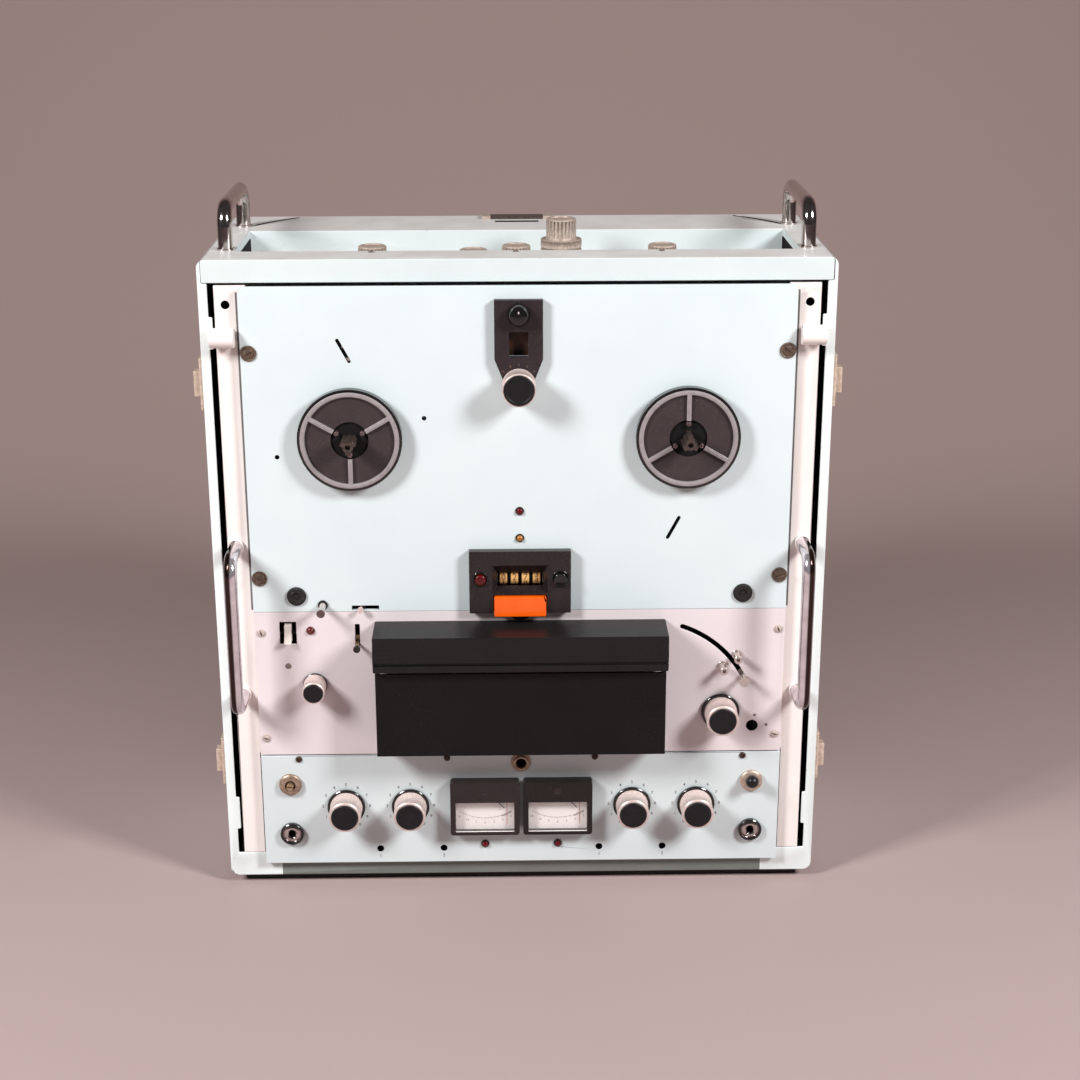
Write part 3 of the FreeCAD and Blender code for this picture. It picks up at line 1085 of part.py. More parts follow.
def turntables():
    for side, sign, turn in (("left", -1, 180), ("right", 1, 0)):
        x = f"{sign} * ReelAcross"
        disc = turned(f"turntable_disc_{side}", x, "ReelHeight", [
            ("TurntableBack", "0"),
            ("TurntableBack", "SkirtRadius"),
            ("TurntableFront + 1", "SkirtRadius"),
            ("TurntableFront + 1", "RimOuter"),
            ("TurntableFront", "RimOuter"),
            ("TurntableFront", "RimInner"),
            ("TurntableFront + TurntableRecess", "RimInner"),
            ("TurntableFront + TurntableRecess", "HubRadius"),
            ("TurntableFront + TurntableRecess + HubRecess", "HubRadius"),
            ("TurntableFront + TurntableRecess + HubRecess", "SpindleCore"),
            ("SpindleTip", "SpindleCore"),
            ("SpindleTip", "0"),
        ])
        parts = [disc, rod(f"turntable_shaft_{side}", BACK, x, "TurntableBack - 1", "ReelHeight", "SpindleShaft",
                           "ShaftLength + 1 + TurntableGap + PanelProud")]
        parts += wings(f"spindle_{side}", x, "ReelHeight", "SpindleTip", "SpindleLength / 2", turn)
        for index in range(3):
            angle = turn + 120 * index
            spoke = box(f"spoke_{side}_{index}", "-SpokeWidth / 2", "0", "HubRadius", "SpokeWidth",
                        "TurntableRecess", "RimInner - HubRadius + 1")
            pin = rod(f"hub_pin_{side}_{index}", BACK, "0", "0", "HubPinCircle", "HubPinRadius",
                      "TurntableRecess + HubRecess + 1")
            arm = join(f"spoke_arm_{side}_{index}", spoke, pin)
            arm.Placement.Rotation = FreeCAD.Rotation(FreeCAD.Vector(0, 1, 0), angle)
            parts.append(put(arm, x, "TurntableFront", "ReelHeight"))
        node(join(f"turntable_{side}_body", *parts), f"turntable_{side}")
        lock_front = "SpindleTip - SeamGap - LockLength"
        lock = [rod(f"lock_core_{side}", BACK, x, lock_front, "ReelHeight", "SpindleCore", "LockLength")]
        lock += wings(f"lock_{side}", x, "ReelHeight", lock_front, "LockLength", turn)
        bore = rod(f"lock_bore_{side}", BACK, x, f"{lock_front} - 1", "ReelHeight", "SpindleCore / 2",
                   "LockLength / 2 + 1")
        node(cut(f"reel_lock_{side}_body", join(f"lock_whole_{side}", *lock), bore), f"reel_lock_{side}")


def speed_selector():
    outline = [
        ("-ShieldFootHalf", "ShieldFoot"),
        ("ShieldFootHalf", "ShieldFoot"),
        ("ShieldHalf", "ShieldShoulder"),
        ("ShieldHalf", "ShieldTop"),
        ("-ShieldHalf", "ShieldTop"),
        ("-ShieldHalf", "ShieldShoulder"),
    ]
    shield = plate("shield_blank", outline, "Face", "ShieldDepth")
    node(cut("speed_shield_body", shield,
             opening("shield_window", "-SpeedWindowHalf", "SpeedWindowHalf", "SpeedWindowLow", "SpeedWindowHigh"),
             through("shield_speed_hole", "0", "SpeedKnobHeight", "ShaftHole"),
             through("shield_dial_hole", "0", "DialHeight", "ShaftHole")), "speed_shield")
    front = "ShieldFace - MovingGap"
    node(turned("speed_knob_body", "0", "SpeedKnobHeight", [
        ("PanelBack + MovingGap + SpeedDiscThickness + 6", "0"),
        ("PanelBack + MovingGap + SpeedDiscThickness + 6", "ShaftRadius"),
        ("PanelBack + MovingGap + SpeedDiscThickness", "ShaftRadius"),
        ("PanelBack + MovingGap + SpeedDiscThickness", "SpeedDiscRadius"),
        ("PanelBack + MovingGap", "SpeedDiscRadius"),
        ("PanelBack + MovingGap", "ShaftRadius"),
        (front, "ShaftRadius"),
        (front, "SpeedKnobRadius"),
        (f"{front} - SpeedKnobLength + CapProud", "SpeedKnobRadius"),
        (f"{front} - SpeedKnobLength + CapProud", "SpeedKnobCap"),
        (f"{front} - SpeedKnobLength", "SpeedKnobCap"),
        (f"{front} - SpeedKnobLength", "0"),
    ]), "speed_knob")
    node(turned("spooling_dial_body", "0", "DialHeight", [
        ("PanelBack + MovingGap", "0"),
        ("PanelBack + MovingGap", "ShaftRadius"),
        (front, "ShaftRadius"),
        (front, "DialRadius"),
        (f"{front} - 2", "DialRadius"),
        (f"{front} - 3", "DialRadius - 1.5"),
        (f"{front} - DialLength", "DialRadius - 2"),
        (f"{front} - DialLength", "0"),
    ]), "spooling_dial")


def tape_counter():
    blank = plate("bezel_blank", rectangle("-BezelHalf", "BezelHalf", "BezelLow", "BezelHigh"),
                  "Face", "BezelDepth")
    window = doc.addObject("Part::Wedge", "bezel_window")
    bind(window, Xmin="-WindowHalf", Xmax="WindowHalf", Zmin="WindowLow", Zmax="WindowHigh",
         X2min="-WindowBackHalf", X2max="WindowBackHalf", Z2min="WindowBackLow", Z2max="WindowBackHigh",
         Ymin="0", Ymax="BezelDepth + 2")
    put(window, "0", "BezelFace - 1", "0")
    pocket = box("key_pocket", "-KeyHalf - MovingGap", "BezelFace - 1", "BezelLow - 1",
                 "2 * (KeyHalf + MovingGap)", "KeyPocket + 1", "KeyHigh - BezelLow + 1 + MovingGap")
    record = through("bezel_record_hole", "-RecordAcross", "ButtonHeight", "RecordRadius + MovingGap / 2")
    reset = through("bezel_reset_hole", "ResetAcross", "ButtonHeight", "ResetRadius + MovingGap / 2")
    lug = rod("key_lug", BACK, "0", "BezelFace + KeyPocket", "KeyLugHeight", "KeyLug", "BezelDepth - KeyPocket")
    half_row = "(2 * DrumPitch)"
    frame = []
    for side, sign in (("left", -1), ("right", 1)):
        start = f"-{half_row} - CounterCheek - SeamGap" if sign < 0 else f"{half_row} + SeamGap"
        frame.append(box(f"counter_cheek_{side}", start, "Face - 1", "DrumHeight - CheekHalf",
                         "CounterCheek", "DrumBehind + PanelProud + CheekHalf", "2 * CheekHalf"))
    axle = rod("counter_axle", RIGHT, f"-{half_row} - 1", "DrumBehind", "DrumHeight", "AxleRadius", f"2 * {half_row} + 2")
    bezel = cut("bezel_cut", join("bezel_solid", blank, lug), window, pocket, record, reset)
    node(join("counter_bezel_body", bezel, *frame, axle), "counter_bezel")
    names = ("thousands", "hundreds", "tens", "units")
    for index, name in enumerate(names):
        middle = f"({index} - 1.5) * DrumPitch"
        wheel = rod(f"drum_{name}_rim", RIGHT, f"{middle} - DrumWidth / 2", "DrumBehind", "DrumHeight",
                    "DrumRadius", "DrumWidth")
        bore = rod(f"drum_{name}_bore", RIGHT, f"{middle} - DrumWidth", "DrumBehind", "DrumHeight",
                   "AxleRadius + RunningClearance", "2 * DrumWidth")
        node(cut(f"counter_drum_{name}_body", wheel, bore), f"counter_drum_{name}")
    for name, x, radius in (("record_button", "-RecordAcross", "RecordRadius"),
                            ("counter_reset_button", "ResetAcross", "ResetRadius")):
        node(turned(f"{name}_body", x, "ButtonHeight", [
            ("PanelBack + 4", "0"),
            ("PanelBack + 4", "ShaftRadius"),
            ("Face - 3", "ShaftRadius"),
            ("Face - 3", radius),
            ("BezelFace - ButtonProud + 1", radius),
            ("BezelFace - ButtonProud", f"{radius} - 1"),
            ("BezelFace - ButtonProud", "0"),
        ]), name)
    key = plate("key_blank", rectangle("-KeyHalf", "KeyHalf", "KeyLow", "KeyHigh"),
                "BezelFace + KeyPocket - KeyPlay", "KeyPocket - KeyPlay + KeyProud", (0, 1, 2, 3), "KeyRound")
    node(key, "pause_key")


def small_fittings():
    lamps = []
    places = [("deck_red", "0", "RedLampHeight"), ("deck_amber", "0", "AmberLampHeight"),
              ("mains", "-MainsLampAcross", "MainsLampHeight"),
              ("record_left", "-RecordLampAcross", "RecordLampHeight"),
              ("record_right", "RecordLampAcross", "RecordLampHeight")]
    for name, x, z in places:
        lamps.append(turned(f"lamp_{name}", x, z, [
            ("PanelBack + 6", "0"),
            ("PanelBack + 6", "LampRadius - 0.4"),
            ("Face - 1", "LampRadius - 0.4"),
            ("Face - 2.4", "LampRadius - 1.6"),
            ("Face - 2.8", "0"),
        ]))
    node(join("indicator_lamps_body", *lamps), "indicator_lamps")
    posts = []
    for name, x, z, length in (("left", "-LeftPostAcross", "LeftPostHeight", "LeftPostLength"),
                               ("inner", "InnerPostAcross", "InnerPostHeight", "PostLength"),
                               ("outer", "OuterPostAcross", "OuterPostHeight", "PostLength")):
        posts.append(turned(f"post_{name}", x, z, [
            ("Face", "0"),
            ("Face", "PostFlange"),
            ("Face - PostFoot", "PostFlange"),
            ("Face - PostFoot", "PostRadius"),
            (f"Face - {length} + PostFoot", "PostRadius"),
            (f"Face - {length} + PostFoot", "PostCap"),
            (f"Face - {length}", "PostCap"),
            (f"Face - {length}", "0"),
        ]))
    node(join("guide_posts_body", *posts), "guide_posts")


# Drive

def drive_motors():
    motors = []
    bores = []
    for side, sign in (("left", -1), ("right", 1)):
        x = f"{sign} * ReelAcross"
        motors.append(rod(f"motor_flange_{side}", BACK, x, "PanelBack", "ReelHeight", "MotorFlange",
                          "MotorFlangeThickness"))
        motors.append(rod(f"motor_can_{side}", BACK, x, "PanelBack", "ReelHeight", "SpoolMotorRadius",
                          "SpoolMotorLength"))
        bores.append(rod(f"motor_bore_{side}", BACK, x, "PanelBack - 1", "ReelHeight",
                         "SpindleShaft + RunningClearance", "SpoolMotorLength + 2"))
    motors.append(rod("capstan_motor_can", BACK, "-CapstanMotorAcross", "SubplateBack", "CapstanHeight",
                      "CapstanMotorRadius", "CapstanMotorLength"))
    bores.append(rod("capstan_motor_bore", BACK, "-CapstanMotorAcross", "SubplateBack - 1", "CapstanHeight",
                     "ShaftRadius + RunningClearance", "CapstanMotorLength / 2"))
    node(cut("drive_motors_body", join("motors_whole", *motors), *bores), "drive_motors")


def capstan_drive():
    middle = "(FlywheelFront + FlywheelThickness / 2)"
    node(turned("capstan_flywheel_body", "CapstanAcross", "CapstanHeight", [
        ("SubplateFront", "0"),
        ("SubplateFront", "CapstanRadius + 2"),
        ("FlywheelFront + FlywheelThickness", "CapstanRadius + 2"),
        ("FlywheelFront + FlywheelThickness", "FlywheelRadius"),
        ("FlywheelFront", "FlywheelRadius"),
        ("FlywheelFront", "CapstanRadius + 2"),
        ("FlywheelFront / 2", "CapstanRadius + 2"),
        ("FlywheelFront / 2", "CapstanRadius"),
        ("-CapstanFront", "CapstanRadius"),
        ("-CapstanFront", "0"),
    ]), "capstan_flywheel")
    node(turned("motor_pulley_body", "-CapstanMotorAcross", "CapstanHeight", [
        ("SubplateBack + CapstanMotorLength / 3", "0"),
        ("SubplateBack + CapstanMotorLength / 3", "ShaftRadius"),
        (f"{middle} + BeltWidth / 2 + 2", "ShaftRadius"),
        (f"{middle} + BeltWidth / 2 + 2", "PulleyRadius + 1.5"),
        (f"{middle} + BeltWidth / 2 + MovingGap", "PulleyRadius + 1.5"),
        (f"{middle} + BeltWidth / 2 + MovingGap", "PulleyRadius"),
        (f"{middle} - BeltWidth / 2 - MovingGap", "PulleyRadius"),
        (f"{middle} - BeltWidth / 2 - MovingGap", "PulleyRadius + 1.5"),
        (f"{middle} - BeltWidth / 2 - 2", "PulleyRadius + 1.5"),
        (f"{middle} - BeltWidth / 2 - 2", "0"),
    ]), "motor_pulley")


def belt_outline(grow):
    """Closed loop round flywheel and pulley, at a distance from their rims."""
    depth = number("FlywheelFront + FlywheelThickness / 2 - BeltWidth / 2")
    big = number("FlywheelRadius") + grow
    small = number("PulleyRadius") + grow
    span = number("CapstanAcross") + number("CapstanMotorAcross")
    tilt = math.asin((big - small) / span)
    right = FreeCAD.Vector(number("CapstanAcross"), depth, number("CapstanHeight"))
    left = FreeCAD.Vector(-number("CapstanMotorAcross"), depth, number("CapstanHeight"))

    def rim(centre, radius, angle):
        return centre + FreeCAD.Vector(math.cos(angle), 0, math.sin(angle)) * radius

    upper = math.pi / 2 + tilt
    top_right = rim(right, big, upper)
    top_left = rim(left, small, upper)
    low_left = rim(left, small, -upper)
    low_right = rim(right, big, -upper)
    return Part.Wire([
        Part.LineSegment(top_right, top_left).toShape(),
        Part.Arc(top_left, rim(left, small, math.pi), low_left).toShape(),
        Part.LineSegment(low_left, low_right).toShape(),
        Part.Arc(low_right, rim(right, big, 0), top_right).toShape(),
    ])


def drive_belt():
    clearance = number("BeltClearance")
    outer = Part.Face(belt_outline(clearance + number("BeltThickness")))
    inner = Part.Face(belt_outline(clearance))
    loop = outer.cut(inner).extrude(FreeCAD.Vector(0, number("BeltWidth"), 0))
    item = doc.addObject("Part::Feature", "drive_belt_body")
    item.Shape = loop
    node(item, "drive_belt")


# Head block

def head_block():
    carrier = box("head_plate", "-HeadPlateHalf", "Face - HeadPlateThickness", "HeadPlateLow",
                  "2 * HeadPlateHalf", "HeadPlateThickness", "HeadPlateHigh - HeadPlateLow")
    shelf = box("head_shelf", "-FlapHalf + CoverWall + MovingGap", "FlapHingeY + 8",
                "FlapHingeHeight - 1", "2 * (FlapHalf - CoverWall - MovingGap)", "Face - FlapHingeY - 8", "3")
    web = box("head_web", "-HeadPlateHalf", "Face - HeadPlateThickness", "FlapHingeHeight", "2 * HeadPlateHalf",
              "HeadPlateThickness", "HeadPlateLow - FlapHingeHeight")
    pieces = [carrier, shelf, web]
    for side, sign in (("left", -1), ("right", 1)):
        inner = "FlapHalf - CoverWall - MovingGap"
        start = f"-({inner})" if sign < 0 else f"{inner} - EarThickness"
        pieces.append(box(f"hinge_ear_{side}", start, "FlapHingeY", "FlapHingeHeight - 2", "EarThickness", "9", "4"))
        pieces.append(rod(f"hinge_eye_{side}", RIGHT, start, "FlapHingeY", "FlapHingeHeight", "2", "EarThickness"))
        pin_start = "-FlapHalf" if sign < 0 else f"{inner} - 1"
        pieces.append(rod(f"hinge_pin_{side}", RIGHT, pin_start, "FlapHingeY", "FlapHingeHeight", "HingePin",
                          f"FlapHalf - ({inner}) + 1"))
    bore = rod("capstan_bearing", BACK, "CapstanAcross", "Face - HeadPlateThickness - 1", "CapstanHeight",
               "CapstanRadius + RunningClearance", "HeadPlateThickness + 2")
    boss = rod("bearing_boss", BACK, "CapstanAcross", "Face - HeadPlateThickness", "CapstanHeight",
               "CapstanRadius + 5", "HeadPlateThickness")
    pinch_boss = rod("pinch_boss", FRONT, "PinchPivotAcross", "Face", "PinchPivotHeight", "ArmPivotPin + 3", "4")
    pinch_pin = rod("pinch_pin", FRONT, "PinchPivotAcross", "Face", "PinchPivotHeight", "ArmPivotPin",
                    "4 + MovingGap + PinchArmThickness + 2")
    pinch_web = box("pinch_web", "PinchPivotAcross - 4", "Face - 4", "HeadPlateHigh - 1", "8", "4",
                    "PinchPivotHeight - HeadPlateHigh + 1")
    solid = join("head_base_solid", *pieces, boss, pinch_boss, pinch_pin, pinch_web)
    node(cut("head_base_body", solid, bore), "head_base")
    heads = []
    for index in range(3):
        middle = f"({index} - 2) * HeadSpacing + HeadSpacing / 2"
        heads.append(box(f"head_{index}", f"{middle} - HeadWidth / 2", "Face - HeadPlateThickness - HeadDepth",
                         "HeadTop - HeadLength", "HeadWidth", "HeadDepth", "HeadLength - 3"))
        nose = rod(f"head_nose_{index}", BACK, middle, "Face - HeadPlateThickness - HeadDepth",
                   "HeadTop - HeadWidth / 2", "HeadWidth / 2", "HeadDepth")
        heads.append(nose)
    node(join("tape_heads_body", *heads), "tape_heads")


def head_cover():
    outer = box("cover_outer", "-CoverHalf", "CoverFace", "CoverLow", "2 * CoverHalf", "CoverDepth",
                "CoverHigh - CoverLow")
    inner = box("cover_inner", "-CoverHalf + CoverWall", "CoverFace + CoverWall", "CoverLow - 1",
                "2 * (CoverHalf - CoverWall)", "CoverDepth", "CoverHigh - CoverLow + 1 - CoverWall")
    groove = box("cover_groove", "-CoverHalf - 1", "CoverFace - 1", "CoverLow + CoverStep", "2 * CoverHalf + 2",
                 "1.6", "0.8")
    node(cut("head_cover_body", outer, inner, groove), "head_cover")
    wall = box("flap_wall", "-FlapHalf", "FlapFace", "FlapLow", "2 * FlapHalf", "CoverWall", "FlapHigh - FlapLow")
    sides = [wall]
    holes = []
    for side, sign in (("left", -1), ("right", 1)):
        start = "-FlapHalf" if sign < 0 else "FlapHalf - CoverWall"
        sides.append(box(f"flap_side_{side}", start, "FlapFace", "FlapLow", "CoverWall", "FlapSideDepth",
                         "FlapHigh - FlapLow"))
        holes.append(rod(f"flap_hinge_hole_{side}", RIGHT, f"{start} - 1", "FlapHingeY", "FlapHingeHeight",
                         "HingePin + RunningClearance", "CoverWall + 2"))
    node(cut("head_cover_flap_body", join("flap_solid", *sides), *holes), "head_cover_flap")


def pinch_roller():
    arm_front = "(Face - 4 - MovingGap - PinchArmThickness)"
    eye = [
        rod("pinch_eye", BACK, "PinchPivotAcross", arm_front, "PinchPivotHeight", "PinchArmWidth / 2 + 2",
            "PinchArmThickness"),
        rod("pinch_end", BACK, "PinchAcross", arm_front, "PinchHeight", "PinchArmWidth / 2", "PinchArmThickness"),
        rod("pinch_spindle", FRONT, "PinchAcross", arm_front, "PinchHeight", "AxleRadius",
            "PinchLength + MovingGap + 2"),
    ]
    length = "(((PinchAcross - PinchPivotAcross) ^ 2 + (PinchPivotHeight - PinchHeight) ^ 2) ^ 0.5)"
    bar = box("pinch_bar", "0", "0", "-PinchArmWidth / 2", length, "PinchArmThickness", "PinchArmWidth")
    drop = math.degrees(math.atan2(number("PinchPivotHeight - PinchHeight"),
                                   number("PinchAcross - PinchPivotAcross")))
    holder = carry("pinch_bar_holder", bar, drop)
    put(holder, "PinchPivotAcross", arm_front, "PinchPivotHeight")
    bore = rod("pinch_eye_bore", BACK, "PinchPivotAcross", f"{arm_front} - 1", "PinchPivotHeight",
               "ArmPivotPin + RunningClearance", "PinchArmThickness + 2")
    node(cut("pinch_arm_body", join("pinch_arm_solid", *eye, holder), bore), "pinch_arm")
    tyre = rod("pinch_tyre", FRONT, "PinchAcross", f"{arm_front} - MovingGap", "PinchHeight", "PinchRadius",
               "PinchLength")
    hole = rod("pinch_tyre_bore", FRONT, "PinchAcross", f"{arm_front} + 1", "PinchHeight",
               "AxleRadius + RunningClearance", "PinchLength + 4")
    node(cut("pinch_roller_body", tyre, hole), "pinch_roller")


# Levers on the head panel

def left_levers():
    pivot = "-(FeelerSlotLeft + FeelerSlotRight) / 2"
    lean = math.degrees(math.asin(number("(FeelerAcross - (FeelerSlotLeft + FeelerSlotRight) / 2) / FeelerArm")))
    layer = "PanelBack + 2 * ArmThickness"
    arm = join(
        "feeler_arm",
        box("feeler_bar", "-3", layer, "0", "6", "ArmThickness", "FeelerArm"),
        rod("feeler_eye", BACK, "0", layer, "0", "ArmPivotPin + 3", "ArmThickness"),
        rod("feeler_pin", FRONT, "0", f"{layer} + 1", "FeelerArm", "FeelerPin",
            "PanelThickness + FeelerProud + 2 * ArmThickness + 1"),
        rod("feeler_head", FRONT, "0", "Face - FeelerProud", "FeelerArm", "FeelerPin + 1.4", "2"),
    )
    bored = cut("feeler_bored", arm, rod("feeler_bore", BACK, "0", f"{layer} - 1", "0",
                                         "ArmPivotPin + RunningClearance", "ArmThickness + 2"))
    holder = carry("tension_lever_body", bored, -lean)
    holder.Label = "tension_lever"
    put(holder, pivot, "FrontPlane", "SkidHeight + FeelerHeight - FeelerArm")
    NODES["tension_lever"] = holder
    low = "SwitchSlotLow + SlotHalf"
    node(join(
        "tape_switch_body",
        box("tape_switch_slider", "-SwitchSlotAcross - 4", "PanelBack + SeamGap", "SwitchSlotLow - 4", "8",
            "1.5", "12"),
        rod("tape_switch_pin", FRONT, "-SwitchSlotAcross", "PanelBack + SeamGap + 1", low, "SwitchPin",
            "PanelThickness + LeverPinProud + SeamGap + 1"),
        rod("tape_switch_knob", FRONT, "-SwitchSlotAcross", "Face - LeverPinProud", low, "SwitchPin + 1.6", "3"),
    ), "tape_switch")


def mains_rocker():
    low = "RockerHeight - RockerLength / 2"
    high = "RockerHeight + RockerLength / 2"
    body = profile("rocker_blank", "-RockerAcross - RockerWidth / 2", "RockerWidth", [
        ("PanelBack + PanelThickness / 2", low),
        ("PanelBack + PanelThickness / 2", high),
        ("Face - RockerHigh", high),
        ("Face - RockerMiddle", "RockerHeight"),
        ("Face - RockerLow", low),
    ])
    bore = rod("rocker_bore", RIGHT, "-RockerAcross - RockerWidth", "Face + PanelThickness / 2", "RockerHeight",
               "AxleRadius + RunningClearance", "2 * RockerWidth")
    node(cut("mains_rocker_body", body, bore), "mains_rocker")


def knob_outline(length, sleeve, cap, ring, tail):
    """Outline of a knob with a skirt, a sleeve, a raised cap and a shaft."""
    front = "Face - MovingGap"
    return [
        (tail, "0"),
        (tail, "ShaftRadius"),
        (front, "ShaftRadius"),
        (front, ring),
        (f"{front} - SkirtHeight", ring),
        (f"{front} - SkirtHeight", sleeve),
        (f"{front} - {length} + CapProud", sleeve),
        (f"{front} - {length} + CapProud", cap),
        (f"{front} - {length}", cap),
        (f"{front} - {length}", "0"),
    ]


def knobs():
    node(turned("function_knob_body", "-FunctionAcross", "FunctionHeight",
                knob_outline("FunctionLength", "FunctionSleeve", "FunctionCap", "FunctionRing", "ShaftTail")),
         "function_knob")
    node(turned("transport_knob_body", "TransportAcross", "TransportHeight",
                knob_outline("TransportLength", "TransportSleeve", "TransportCap", "TransportRing", "ShaftTail")),
         "transport_knob")
    for name, x in (("replay_gain_left", "-GainOuter"), ("record_gain_left", "-GainInner"),
                    ("record_gain_right", "GainInner"), ("replay_gain_right", "GainOuter")):
        node(turned(f"{name}_body", x, "GainHeight",
                    knob_outline("GainLength", "GainSleeve", "GainCap", "GainRing", "ShaftTail")), name)


def tension_arm():
    x, z = on_arm("ArmAngle", "ArmRadius")
    layer = "PanelBack + MovingGap"
    bar = box("arm_bar", "0", "0", "-ArmWidth / 2", "ArmRadius", "ArmThickness", "ArmWidth")
    holder = carry("arm_bar_holder", bar, -number("ArmAngle"))
    put(holder, "ArmPivotAcross", layer, "ArmPivotHeight")
    roller = turned("arm_roller", x, z, [
        ("Face - PostFoot - MovingGap", "0"),
        ("Face - PostFoot - MovingGap", "ArmRollerRadius"),
        ("Face - PostLength - MovingGap", "ArmRollerRadius"),
        ("Face - PostLength - MovingGap", "ArmRollerCap"),
        ("Face - PostLength - MovingGap - PostFoot", "ArmRollerCap"),
        ("Face - PostLength - MovingGap - PostFoot", "0"),
    ])
    pieces = [
        holder,
        roller,
        rod("arm_eye", BACK, "ArmPivotAcross", layer, "ArmPivotHeight", "ArmWidth / 2 + 2", "ArmThickness"),
        rod("arm_end", BACK, x, layer, z, "ArmWidth / 2", "ArmThickness"),
        rod("arm_pin", FRONT, x, f"{layer} + 1", z, "SwitchPin",
            "PanelThickness + PostFoot + 3 * MovingGap + 2"),
    ]
    bore = rod("arm_bore", BACK, "ArmPivotAcross", f"{layer} - 1", "ArmPivotHeight",
               "ArmPivotPin + RunningClearance", "ArmThickness + 2")
    node(cut("tension_arm_body", join("tension_arm_solid", *pieces), bore), "tension_arm")


# Pieces on the control panel

def panel_bushings():
    pieces = []
    for side, sign in (("left", -1), ("right", 1)):
        hole = "ShaftRadius + RunningClearance" if sign < 0 else "ToggleHole"
        pieces.append(turned(f"nut_{side}", f"{sign} * ToggleAcross", "ToggleHeight", [
            ("CanBack", hole),
            ("CanBack", "NutRadius - 3.2"),
            ("Face", "NutRadius - 3.2"),
            ("Face", "NutRadius"),
            ("Face - NutHeight / 3", "NutRadius"),
            ("Face - NutHeight / 2", "NutRadius - 2"),
            ("Face - NutHeight", "NutRadius - 2.6"),
            ("Face - NutHeight", hole),
        ]))
        pieces.append(turned(f"jack_{side}", f"{sign} * JackAcross", "JackHeight", [
            ("JackLength - JackProud - PanelProud", "JackBore"),
            ("JackLength - JackProud - PanelProud", "JackBarrel - SeamGap"),
            ("Face", "JackBarrel - SeamGap"),
            ("Face", "JackRing"),
            ("Face - JackProud + 1", "JackRing"),
            ("Face - JackProud", "JackRing - 1.5"),
            ("Face - JackProud", "JackBore"),
        ]))
    pieces.append(turned("balance_bushing", "0", "BalanceHeight", [
        ("PanelBack + 6", "ShaftRadius"),
        ("PanelBack + 6", "BalanceRadius - 2.2"),
        ("Face", "BalanceRadius - 2.2"),
        ("Face", "BalanceRadius"),
        ("Face - 1.2", "BalanceRadius"),
        ("Face - 1.2", "BalanceRadius - 2"),
        ("Face - 3.5", "BalanceRadius - 2.4"),
        ("Face - 3.5", "ShaftRadius"),
    ]))
    node(join("panel_bushings_body", *pieces), "panel_bushings")


def toggle_and_spindle():
    lean = FreeCAD.Rotation(FreeCAD.Vector(1, 0, 0), 90 - number("ToggleTilt"))
    lever = rod("toggle_stem", lean, "ToggleAcross", "0", "ToggleHeight", "ToggleLever", "ToggleReach")
    root = ball("toggle_root", "ToggleAcross", "0", "ToggleHeight", "ToggleRoot")
    tip = ball("toggle_ball", "ToggleAcross", "-ToggleReach * cos(ToggleTilt * 1 deg)",
               "ToggleHeight + ToggleReach * sin(ToggleTilt * 1 deg)", "ToggleBall")
    node(join("toggle_lever_body", lever, root, tip), "toggle_lever")
    spindle = rod("preset_rod", FRONT, "-ToggleAcross", "CanBack - 1", "ToggleHeight", "ShaftRadius",
                  "CanBack - 1 + PanelProud + NutHeight + 3")
    slot = box("preset_slot", "-ToggleAcross - ShaftRadius - 1", "Face - NutHeight - 4", "ToggleHeight - 0.6",
               "2 * ShaftRadius + 2", "3", "1.2")
    node(cut("preset_spindle_body", spindle, slot), "preset_spindle")


def meters():
    housings = []
    for side, sign in (("left", -1), ("right", 1)):
        left = "-MeterInner - MeterWidth" if sign < 0 else "MeterInner"
        right = "-MeterInner" if sign < 0 else "MeterInner + MeterWidth"
        middle = f"{sign} * MeterAcross"
        body = plate(f"meter_{side}", rectangle(left, right, "MeterLow", "MeterHigh"), "Face", "MeterDepth",
                     (0, 1, 2, 3), "MeterRound")
        room = box(f"meter_room_{side}", f"{middle} - GlassHalf - MeterRoomEdge", "MeterFace + MeterFaceWall",
                   "GlassLow - MeterRoomEdge", "2 * (GlassHalf + MeterRoomEdge)", "MeterFaceRoom",
                   "NeedlePivot + MeterRoomAbove - GlassLow + MeterRoomEdge")
        glass = box(f"meter_glass_{side}", f"{middle} - GlassHalf", "MeterFace - 1", "GlassLow", "2 * GlassHalf",
                    "MeterFaceWall + 2", "GlassHigh - GlassLow")
        can = rod(f"meter_can_{side}", BACK, middle, "Face - 1", "(MeterLow + MeterHigh) / 2",
                  "MeterCan - SeamGap", "MeterCanLength + 1 + PanelProud")
        housings.append(join(f"meter_whole_{side}", cut(f"meter_cut_{side}", body, room, glass), can))
        needle_y = "MeterFace + MeterFaceWall + MeterFaceRoom / 2"
        needle = join(
            f"needle_{side}_arm",
            box(f"needle_{side}_bar", "0", "-NeedleWidth / 2", "-NeedleWidth / 2", "NeedleLength", "NeedleWidth",
                "NeedleWidth"),
            rod(f"needle_{side}_hub", BACK, "0", "-NeedleHub / 2", "0", "NeedleHub", "NeedleHub"),
        )
        tilted = carry(f"meter_needle_{side}_body", needle, number("NeedleAngle"))
        tilted.Label = f"meter_needle_{side}"
        put(tilted, middle, f"FrontPlane + {needle_y}", "SkidHeight + NeedlePivot")
        NODES[f"meter_needle_{side}"] = tilted
    node(join("meter_housings_body", *housings), "meter_housings")


